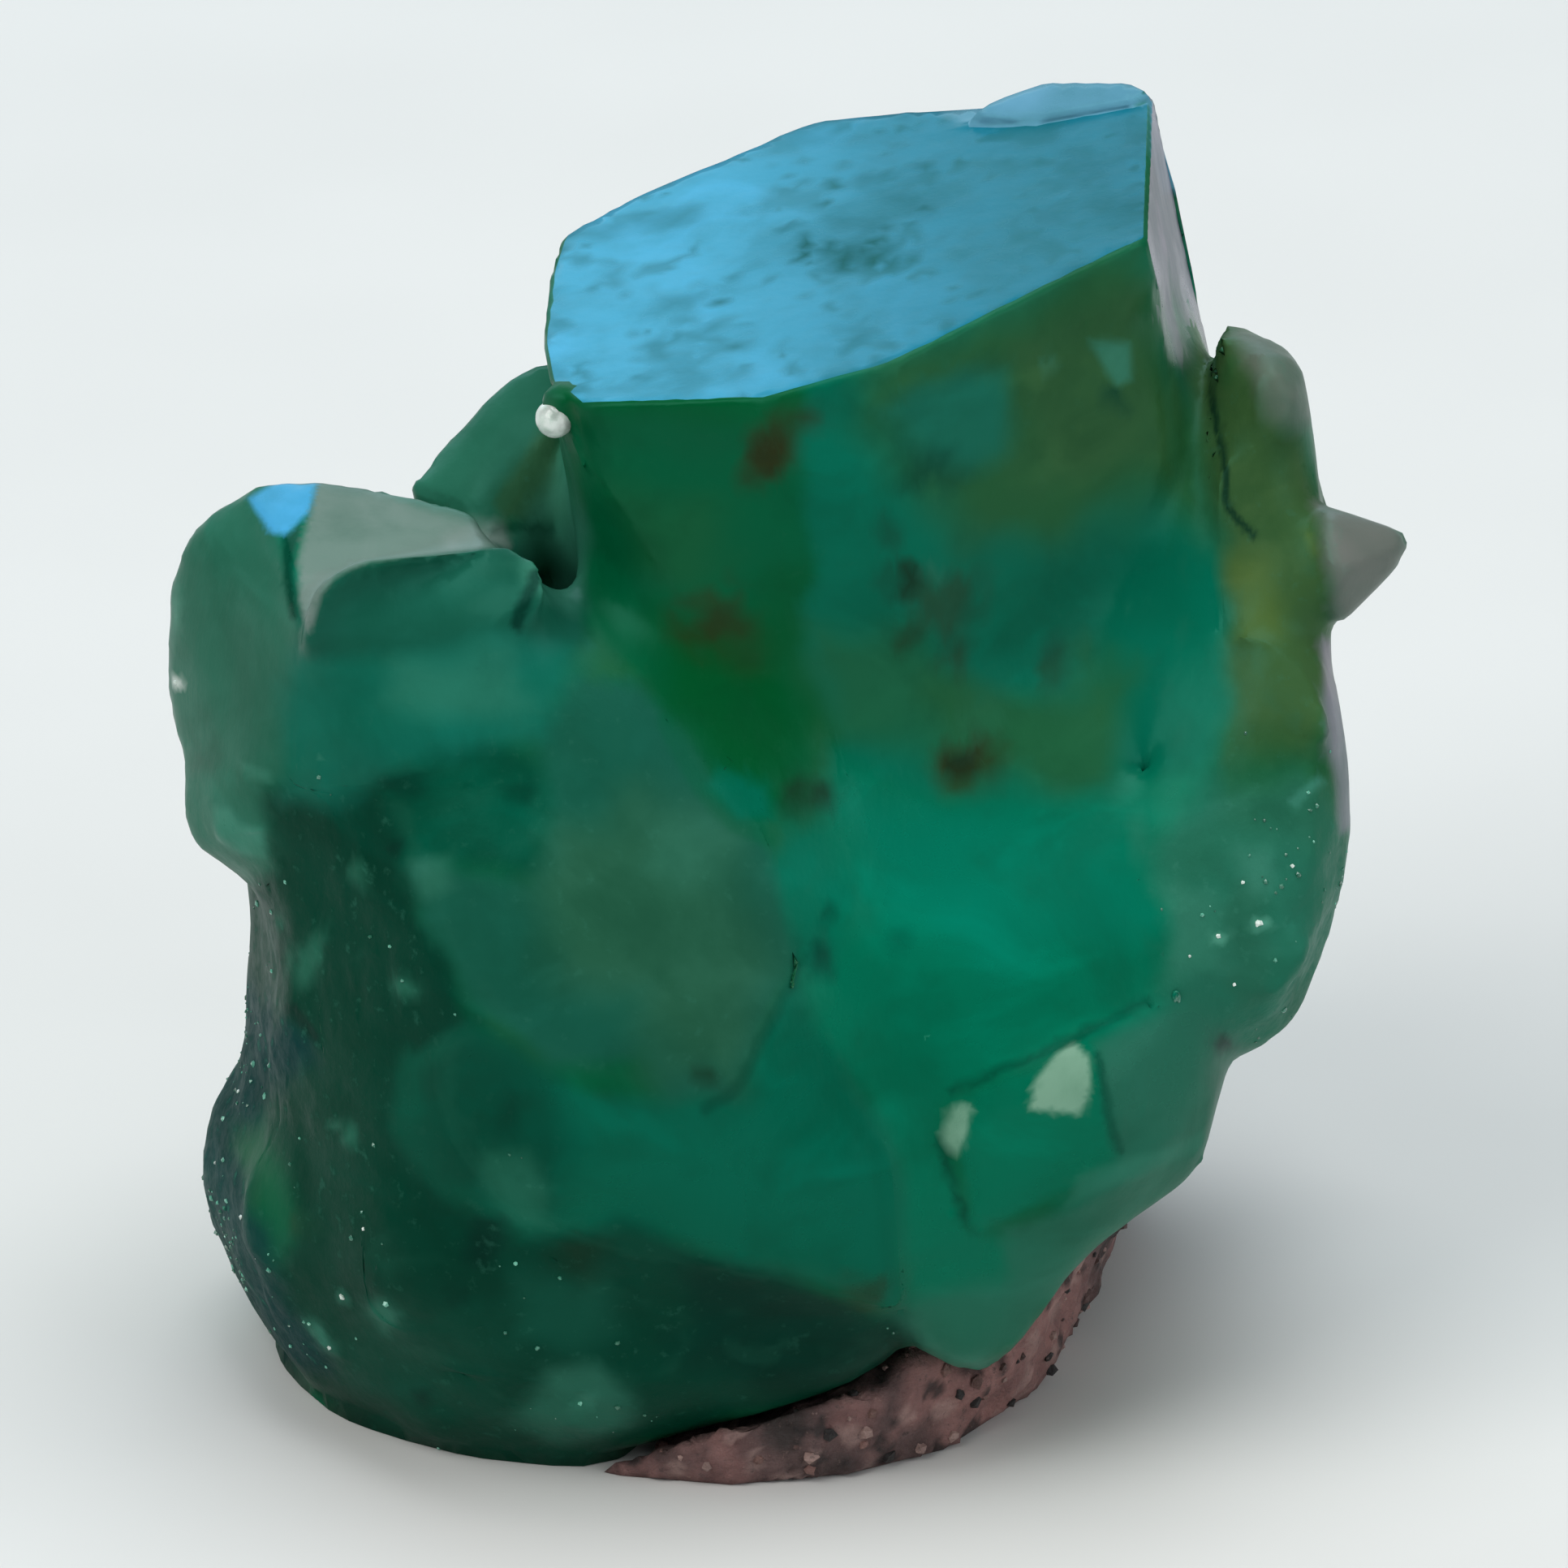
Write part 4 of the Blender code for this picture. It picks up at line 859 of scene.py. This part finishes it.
def paint_facets(tint, look, spots, direction, tree):
    """Lays the sharply bounded facets over the colour at the triangle corners; their blue and lilac are
    painted reflections of the sky.
    """
    u, v, _ = in_view(spots)
    for name, place, turn, outline, color, amount, finish in FACETS:
        chosen = direction @ seen(tree, place)[1] > math.cos(math.radians(turn))
        chosen &= inside_by(u, v, outline) > 0.0
        own, pu, pv = spots[chosen], u[chosen], v[chosen]
        mask, rougher = np.ones(len(own)), 0.0
        if name == "end face":
            color, patch = mottled(own, pu, pv, color)
            rougher = 0.4 * patch
        elif name == "right sliver":
            mask = smooth(10.0, 12.6, pv + fractal(own / 1.2, 3, 97))
        tint[chosen] = mix(tint[chosen], color, amount * mask)
        look[chosen, :3] = finish
        look[chosen, 0] += rougher


def linked(name, data):
    """New object of the scene."""
    obj = bpy.data.objects.new(name, data)
    bpy.context.scene.collection.objects.link(obj)
    return obj


def set_corner_colors(mesh, name, values):
    """Stores a linear colour on each triangle corner."""
    layer = mesh.color_attributes.new(name, "FLOAT_COLOR", "CORNER")
    data = np.ones((len(values), 4), dtype=np.float32)
    data[:, :values.shape[1]] = values
    layer.data.foreach_set("color", data.ravel())


def make_mesh(name, co, tri):
    """Linked triangle mesh object from millimetres."""
    mesh = bpy.data.meshes.new(name)
    mesh.vertices.add(len(co))
    mesh.vertices.foreach_set("co", (co * MM).ravel())
    mesh.loops.add(3 * len(tri))
    mesh.loops.foreach_set("vertex_index", tri.ravel().astype(np.int32))
    mesh.polygons.add(len(tri))
    mesh.polygons.foreach_set("loop_start", np.arange(0, 3 * len(tri), 3, dtype=np.int32))
    mesh.update(calc_edges=True)
    mesh.validate()
    mesh.polygons.foreach_set("use_smooth", np.ones(len(tri), dtype=bool))
    return linked(name, mesh)


def in_box(co):
    """Positions kept inside the box of the CAD model."""
    return np.clip(co, np.array(cad_box[0]) / MM, np.array(cad_box[1]) / MM)


def pushed(co, normals, move, floor, raw):
    """Positions moved along their directions, with the flat cut left as it was."""
    co = co + normals * np.where(floor, 0.0, move)[:, None]
    co[:, 2] = np.where(floor, raw[:, 2], np.maximum(co[:, 2], 0.02))
    return in_box(co)


def roughened(co, facing):
    """How rough the broken sides of the front are, from the grain of the zones."""
    u, v, _ = in_view(co)
    rough = np.zeros(len(co))
    for outline, soft, _, _, (_, _, grain) in ZONES:
        if grain >= BROKEN_GRAIN:
            rough = np.maximum(rough, grain * smooth(-0.6, 0.5, inside_by(u, v, outline)))
        elif soft <= 0.31:
            rough *= 1.0 - smooth(-0.3, 0.2, inside_by(u, v, outline))
    return rough * smooth(-0.4, 0.1, facing)


def crystals():
    """Dense display mesh of the crystals, eased at the joins and roughened on the broken sides."""
    co, tri, tree = welded("emerald_crystals")
    for longest in SPACINGS:
        co, tri = evened(*refined(co, tri, longest))
    co, tri = refined(co, tri, SPACINGS[-1], MARK_SPACING)
    edges = edge_list(tri)[0]
    raw = co.copy()
    floor = co[:, 2] < ON_FLOOR
    wide = relaxed(raw, edges, 10, 0.5)
    u, v, _ = in_view(co)
    facing = -(vertex_normals(co, tri) @ AWAY)
    crisp = np.maximum(crisp_mask(u, v) * smooth(-0.3, 0.0, facing), near_ball(co, tree))
    light = relaxed(co, edges, 2, 0.35)
    heavy, hidden = eased(light, edges, facing, tree)
    heavy = relaxed(heavy, edges, 14, 0.5)
    co = np.where(floor[:, None], co, mix(heavy, light, crisp))
    loose = hidden & ~floor & (crisp < 0.1)
    tri = thinned(co, tri, loose, CLOSED_UNDER)
    used, tri = np.unique(tri, return_inverse=True)
    tri = tri.reshape(-1, 3)
    co, raw, wide, floor, crisp, loose = (rows[used] for rows in (co, raw, wide, floor, crisp, loose))
    co = mix(co, relaxed(co, edge_list(tri)[0], 6, 0.5), loose.astype(float))
    sharp_direction = np.repeat(face_normals(raw, tri)[0], 3, axis=0)
    normals = vertex_normals(co, tri)
    convexity = ((raw - wide) * normals).sum(axis=1)
    rough = roughened(co, -(normals @ AWAY))
    near, second, value = cells(co / np.array((1.7, 1.7, 2.6)), 3)
    chips = 0.14 * (value - 0.5) * smooth(0.0, 0.15, second - near)
    lumps = 0.09 * fractal(co / 0.9, 3, 41)
    swell = 0.01 * fractal(co / 1.3, 2, 47) + 0.1 * (1.0 - crisp) * fractal(co / 3.4, 2, 53)
    co = pushed(co, normals, rough * (chips + lumps) + swell, floor, raw)
    new_direction = np.repeat(face_normals(co, tri)[0], 3, axis=0)
    sharp = np.repeat(crisp[tri].min(axis=1) > 0.5, 3)
    direction = np.where(sharp[:, None], sharp_direction, new_direction)
    tint, look = paint_crystals(co, vertex_normals(co, tri))
    # lighter convex edges: partly wear, partly painted edge glints
    look[:, 3] = smooth(0.06, 0.18, convexity)
    corners = tri.reshape(-1)
    tint, look = tint[corners], look[corners]
    paint_facets(tint, look, co[corners], direction, tree)
    obj = make_mesh("crystal_surface", co, tri)
    set_corner_colors(obj.data, "tint", tint)
    set_corner_colors(obj.data, "look", look)
    return obj, co, tri, rough


def rock():
    """Dense display mesh of the host rock with crumbly relief."""
    co, tri, _ = welded("host_rock")
    co, tri = refined(co, tri, ROCK_SPACING)
    floor = co[:, 2] < ON_FLOOR
    raw = co.copy()
    co = np.where(floor[:, None], co, relaxed(co, edge_list(tri)[0], 3, 0.4))
    near, _, value = cells(co / 0.9, 61)
    move = 0.12 + 0.16 * (0.6 - near) + 0.14 * fractal(co / 0.7, 3, 67) + 0.1 * (value - 0.5)
    co = pushed(co, vertex_normals(co, tri), move, floor, raw)
    spots = co[tri].reshape(-1, 3)
    u, v, _ = in_view(spots)
    cloud = fractal(spots / 1.8, 3, 71)
    speck = cells(spots / 0.5, 77)[2]
    tint = np.tile(srgb(104, 80, 78), (len(spots), 1))
    for color, mask in ((srgb(140, 102, 98), smooth(0.0, 0.7, cloud)),
                        (srgb(58, 48, 46), smooth(0.1, 0.7, -cloud)),
                        (srgb(160, 116, 110), 0.7 * smooth(-0.5, 0.8, inside_by(u, v, PINK_ROCK))),
                        (SOOT, 0.8 * smooth(0.86, 0.92, speck)),
                        (srgb(180, 150, 142), 0.5 * smooth(0.86, 0.92, 1.0 - speck))):
        tint = mix(tint, color, mask)
    obj = make_mesh("rock_surface", co, tri)
    set_corner_colors(obj.data, "tint", tint)
    return obj, co, tri


def grain_shape(rng, foot, axis, big, sides=5):
    """Corners and triangles of one stubby grain."""
    side = np.cross(axis, rng.normal(size=3))
    side /= np.linalg.norm(side)
    other = np.cross(axis, side)
    points = []
    for level, wide in ((-0.5, 0.8), (0.6, 1.0)):
        for k in range(sides):
            angle = 2.0 * math.pi * k / sides + 0.5 * rng.random()
            reach = wide * big * (0.75 + 0.4 * rng.random())
            points.append(foot + (side * math.cos(angle) + other * math.sin(angle)) * reach
                          + axis * level * big)
    points.append(foot - axis * 0.9 * big)
    points.append(foot + axis * big * (1.0 + 0.4 * rng.random()))
    low, top = 2 * sides, 2 * sides + 1
    faces = []
    for k in range(sides):
        n = (k + 1) % sides
        faces += [(k, low, n), (k, n, sides + n), (k, sides + n, sides + k), (sides + k, sides + n, top)]
    return points, faces


def grains_mesh(name, places, seed, colors):
    """Grains at places of spot, direction and size, joined in one mesh."""
    rng = np.random.default_rng(seed)
    points, faces, tints = [], [], []
    for spot, normal, big in places:
        axis = normal + 0.5 * rng.normal(size=3)
        axis /= np.linalg.norm(axis)
        own, shape = grain_shape(rng, spot - normal * big * 0.3, axis, big)
        faces += [tuple(len(points) + k for k in face) for face in shape]
        points += own
        color = colors[rng.integers(len(colors))] * (0.75 + 0.5 * rng.random())
        tints.extend([color] * (3 * len(shape)))
    obj = make_mesh(name, in_box(np.array(points)), np.array(faces))
    obj.data.polygons.foreach_set("use_smooth", np.zeros(len(faces), dtype=bool))
    set_corner_colors(obj.data, "tint", np.clip(np.array(tints), 0.0, 1.0))
    return obj


def corner_grain():
    """White bead at the corner of the end face, standing for a painted highlight."""
    bm = bmesh.new()
    bmesh.ops.create_icosphere(bm, subdivisions=4, radius=BALL_RADIUS)
    co = np.array([v.co[:] for v in bm.verts])
    tri = np.array([[v.index for v in f.verts] for f in bm.faces])
    bm.free()
    middle = seen(welded("emerald_crystals")[2], BALL)[0] + AWAY * 0.3
    co = co * (1.0 + 0.06 * fractal(co / 0.5, 3, 101))[:, None]
    obj = make_mesh("corner_grain", co + middle, tri)
    tint = mix(np.tile(PAINTED_GLINT_WHITE, (len(co), 1)), GREY, 0.5 * smooth(0.0, 0.8, fractal(co / 0.3, 3, 103)))
    set_corner_colors(obj.data, "tint", tint[tri.reshape(-1)])
    return obj


def scattered(co, tri, weight, count, size, seed):
    """Places spread over a surface by weight."""
    rng = np.random.default_rng(seed)
    normals, area = face_normals(co, tri)
    chance = area * weight
    chosen = rng.choice(len(tri), size=count, p=chance / chance.sum())
    places = []
    for face in chosen:
        a, b, c = co[tri[face]]
        r1, r2 = rng.random(2)
        if r1 + r2 > 1.0:
            r1, r2 = 1.0 - r1, 1.0 - r2
        places.append((a + (b - a) * r1 + (c - a) * r2, normals[face],
                       size * (0.45 + 1.1 * rng.random() ** 2)))
    return places


def pinned(obj, rows):
    """Places on the shown front surface from rows of view place and size."""
    tree = BVHTree.FromPolygons([v.co[:] for v in obj.data.vertices],
                                [p.vertices[:] for p in obj.data.polygons])
    places = []
    for u, v, size in rows:
        spot, normal, _, _ = cast(tree, u, v)
        if spot is not None:
            places.append((np.array(spot) / MM, np.array(normal), 0.6 * size))
    return places


# ---------------------------------------------------------------- materials

def set_inputs(node, values):
    """Constants on a node's own sockets."""
    for name, value in values.items():
        node.inputs[name].default_value = value


class Tree:
    """Short way to add and wire shader nodes."""

    def __init__(self, name):
        self.mat = bpy.data.materials.new(name)
        self.mat.use_nodes = True
        self.nodes = self.mat.node_tree.nodes
        self.links = self.mat.node_tree.links
        self.shader = self.nodes["Principled BSDF"]
        self.output = self.nodes["Material Output"]

    def add(self, kind, **settings):
        node = self.nodes.new(kind)
        for key, value in settings.items():
            setattr(node, key, value)
        return node

    def join(self, source, target):
        self.links.new(source, target)

    def feed(self, name, source):
        """Wires a source to one of the shader's sockets."""
        self.join(source, self.shader.inputs[name])

    def bump(self, height, strength, distance):
        node = self.add("ShaderNodeBump")
        set_inputs(node, {"Strength": strength, "Distance": distance})
        self.join(height, node.inputs["Height"])
        self.feed("Normal", node.outputs["Normal"])

    def attribute(self, name):
        return self.add("ShaderNodeAttribute", attribute_type="GEOMETRY", attribute_name=name)

    def mapped(self, scale=(1.0, 1.0, 1.0), rotation=(0.0, 0.0, 0.0)):
        coord = self.add("ShaderNodeTexCoord")
        mapping = self.add("ShaderNodeMapping")
        set_inputs(mapping, {"Rotation": rotation, "Scale": scale})
        self.join(coord.outputs["Object"], mapping.inputs["Vector"])
        return mapping.outputs["Vector"]

    def noise(self, vector, scale, detail=3.0, rough=0.55, distortion=0.0):
        node = self.add("ShaderNodeTexNoise")
        set_inputs(node, {"Scale": scale, "Detail": detail, "Roughness": rough, "Distortion": distortion})
        self.join(vector, node.inputs["Vector"])
        return node.outputs["Fac"]

    def ramp(self, source, low, high, out_low=0.0, out_high=1.0):
        node = self.add("ShaderNodeMapRange", clamp=True)
        node.interpolation_type = "SMOOTHSTEP"
        self.join(source, node.inputs["Value"])
        set_inputs(node, {"From Min": low, "From Max": high, "To Min": out_low, "To Max": out_high})
        return node.outputs["Result"]

    def math(self, operation, a, b):
        node = self.add("ShaderNodeMath", operation=operation)
        for index, value in enumerate((a, b)):
            if isinstance(value, (int, float)):
                node.inputs[index].default_value = value
            else:
                self.join(value, node.inputs[index])
        return node.outputs[0]

    def blend(self, amount, a, b, kind="MIX"):
        node = self.add("ShaderNodeMix", data_type="RGBA", blend_type=kind)
        sockets = (node.inputs[0], node.inputs[6], node.inputs[7])
        for socket, value in zip(sockets, (amount, a, b)):
            if isinstance(value, (int, float)):
                socket.default_value = value
            elif isinstance(value, (tuple, list, np.ndarray)):
                socket.default_value = (*[float(c) for c in value[:3]], 1.0)
            else:
                self.join(value, socket)
        return node.outputs[2]


def emerald_material():
    """Beryl: painted zones with faint clouds and veils, growth lines, frosted grain and convex edges
    lightened partly as wear and partly as painted edge glints.
    """
    t = Tree("emerald_surface")
    tint, look = t.attribute("tint"), t.attribute("look")
    split = t.add("ShaderNodeSeparateColor")
    t.join(look.outputs["Color"], split.inputs["Color"])
    rough, clear, grain = split.outputs
    plain = t.mapped()
    cloud = t.noise(plain, 300.0, 5.0, 0.6, 0.4)
    fine = t.noise(plain, 2600.0, 4.0, 0.6)
    along = t.mapped((1.0, 1.0, 0.14), (math.radians(-3.0), math.radians(10.0), 0.0))
    lines = t.noise(along, 2300.0, 3.0, 0.6)
    veil = t.noise(t.mapped((1.0, 0.6, 1.6), (0.5, 0.4, 0.2)), 260.0, 4.0, 0.55, 0.8)
    own = tint.outputs["Color"]
    darker = t.blend(1.0, own, (0.5, 0.66, 0.6), "MULTIPLY")
    lighter = t.blend(1.0, own, (1.5, 1.25, 1.35), "MULTIPLY")
    color = t.blend(t.ramp(cloud, 0.42, 0.7, 0.0, 0.6), own, darker)
    color = t.blend(t.ramp(veil, 0.5, 0.75, 0.0, 0.6), color, lighter)
    speck = t.ramp(fine, 0.58, 0.74)
    color = t.blend(t.math("MULTIPLY", speck, t.math("MULTIPLY", grain, 0.5)), color, PALE)
    # convex edges lightened: wear and painted edge glints
    color = t.blend(t.math("MULTIPLY", look.outputs["Alpha"], 0.12), color, JADE)
    t.feed("Base Color", color)
    frosted = t.math("MULTIPLY", t.ramp(fine, 0.4, 0.75), t.math("MULTIPLY", grain, 0.3))
    t.feed("Roughness", t.math("ADD", t.math("ADD", rough, frosted), t.ramp(cloud, 0.35, 0.7, -0.04, 0.06)))
    t.feed("Transmission Weight", t.math("MULTIPLY", clear, t.ramp(veil, 0.45, 0.75, 0.5, 0.3)))
    frost_height = t.math("MULTIPLY", fine, t.math("ADD", grain, 0.06))
    t.bump(t.math("ADD", t.math("MULTIPLY", lines, 0.25), frost_height), 0.4, 0.0001)
    set_inputs(t.shader, {"IOR": 1.58, "Specular IOR Level": 0.06, "Specular Tint": (0.25, 1.0, 0.8, 1.0)})
    absorb = t.add("ShaderNodeVolumeAbsorption")
    set_inputs(absorb, {"Color": (0.0, 0.86, 0.62, 1.0), "Density": 340.0})
    t.join(absorb.outputs["Volume"], t.output.inputs["Volume"])
    return t.mat


def grain_material():
    """Small clear to frosted grains."""
    t = Tree("crystal_grains")
    own = t.attribute("tint").outputs["Color"]
    fine = t.noise(t.mapped(), 5200.0)
    t.feed("Base Color", t.blend(t.ramp(fine, 0.4, 0.7, 0.0, 0.6), own, (0.55, 0.7, 0.62), "MULTIPLY"))
    t.feed("Roughness", t.ramp(fine, 0.3, 0.7, 0.12, 0.35))
    t.bump(fine, 0.3, 0.00005)
    set_inputs(t.shader, {"IOR": 1.57, "Coat Weight": 0.5})
    return t.mat


def rock_material(name, gloss):
    """Crumbly host rock."""
    t = Tree(name)
    own = t.attribute("tint").outputs["Color"]
    plain = t.mapped()
    cloud = t.noise(plain, 900.0, 5.0, 0.65)
    fine = t.noise(plain, 4200.0, 5.0, 0.7)
    color = t.blend(t.ramp(cloud, 0.35, 0.7, 0.0, 0.7), own, (0.42, 0.4, 0.42), "MULTIPLY")
    color = t.blend(t.ramp(fine, 0.6, 0.75, 0.0, 0.5), color, srgb(176, 150, 142))
    t.feed("Base Color", t.blend(t.ramp(fine, 0.3, 0.42, 0.6, 0.0), color, SOOT))
    t.feed("Roughness", t.ramp(fine, 0.3, 0.7, 0.55 - gloss, 0.95 - gloss))
    t.bump(t.math("ADD", fine, cloud), 0.8, 0.0002)
    return t.mat


def floor_material():
    """Plain pale studio sweep."""
    t = Tree("studio_floor")
    fine = t.noise(t.mapped(), 30.0)
    t.feed("Base Color", t.blend(t.ramp(fine, 0.3, 0.7), srgb(214, 214, 212), srgb(219, 219, 217)))
    set_inputs(t.shader, {"Roughness": 0.8})
    return t.mat


# ---------------------------------------------------------------- stage, light and camera

def area_light(name, towards, size, power, color):
    """Soft box that lies in a direction from the object and faces it."""
    data = bpy.data.lights.new(name, "AREA")
    data.shape = "RECTANGLE"
    data.size, data.size_y = size
    data.energy = power
    data.color = color
    way = Vector(towards).normalized()
    obj = linked(name, data)
    obj.location = way * LIGHT_DISTANCE + LIGHT_AIM
    obj.rotation_euler = way.to_track_quat("Z", "Y").to_euler()


def stage():
    """Floor, world, lights and camera."""
    mesh = bpy.data.meshes.new("studio_floor")
    corners = [(x * FLOOR_HALF, y * FLOOR_HALF, 0.0) for x, y in ((-1, -1), (1, -1), (1, 1), (-1, 1))]
    mesh.from_pydata(corners, [], [(0, 1, 2, 3)])
    mesh.materials.append(floor_material())
    floor = linked("studio_floor", mesh)
    floor.location.z = FLOOR_DROP
    world = bpy.data.worlds.new("studio_world")
    bpy.context.scene.world = world
    world.use_nodes = True
    set_inputs(world.node_tree.nodes["Background"], {"Color": (0.9, 0.95, 1.0, 1.0), "Strength": 0.2})
    for row in LIGHTS:
        area_light(*row)
    data = bpy.data.cameras.new("camera")
    data.lens = 500.0
    data.sensor_width = 36.0
    data.clip_start = 0.01
    data.clip_end = 10.0
    camera = linked("camera", data)
    distance = VIEW_WIDTH * MM * data.lens / data.sensor_width
    camera.location = Vector(VIEW_CENTRE) * MM - Vector(AWAY) * distance
    camera.rotation_euler = Vector(-AWAY).to_track_quat("Z", "Y").to_euler()
    bpy.context.scene.camera = camera
    settings = bpy.context.scene.view_settings
    settings.view_transform = "Standard"
    settings.look = "None"
    settings.exposure = 0.0


def dress():
    """All pieces with their finish."""
    surface, co, tri, rough = crystals()
    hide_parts("emerald_crystals")
    stone, rock_co, rock_tri = rock()
    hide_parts("host_rock")
    centres = co[tri].mean(axis=1)
    weight = rough[tri].mean(axis=1) ** 3 * (smooth(-0.1, 0.5, fractal(centres / 2.0, 2, 91)) + 0.05)
    frost = scattered(co, tri, weight, FROST_COUNT, FROST_SIZE, 5)
    grains = grains_mesh("frost_grains", frost, 6, [PALE, JADE, MINT, JADE])
    # white and mint grains standing for painted glints
    bright = grains_mesh("glint_grains", pinned(surface, SPARKLES), 7, [PAINTED_GLINT_WHITE, MINT])
    side = (rock_co[rock_tri].mean(axis=1)[:, 2] > 0.1).astype(float)
    loose = scattered(rock_co, rock_tri, side, CRUMB_COUNT, CRUMB_SIZE, 9)
    crumbs = grains_mesh("rock_crumbs", loose, 10, CRUMB_COLORS)
    for piece, slot, material in ((surface, "emerald", emerald_material()),
                                  (grains, "emerald", grain_material()),
                                  (bright, "emerald", grain_material()),
                                  (corner_grain(), "emerald", grain_material()),
                                  (stone, "host_rock", rock_material("rock_surface", 0.0)),
                                  (crumbs, "host_rock", rock_material("rock_crumbs", 0.2))):
        piece.data.materials.append(material)
        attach(piece, "root")


dress()
stage()
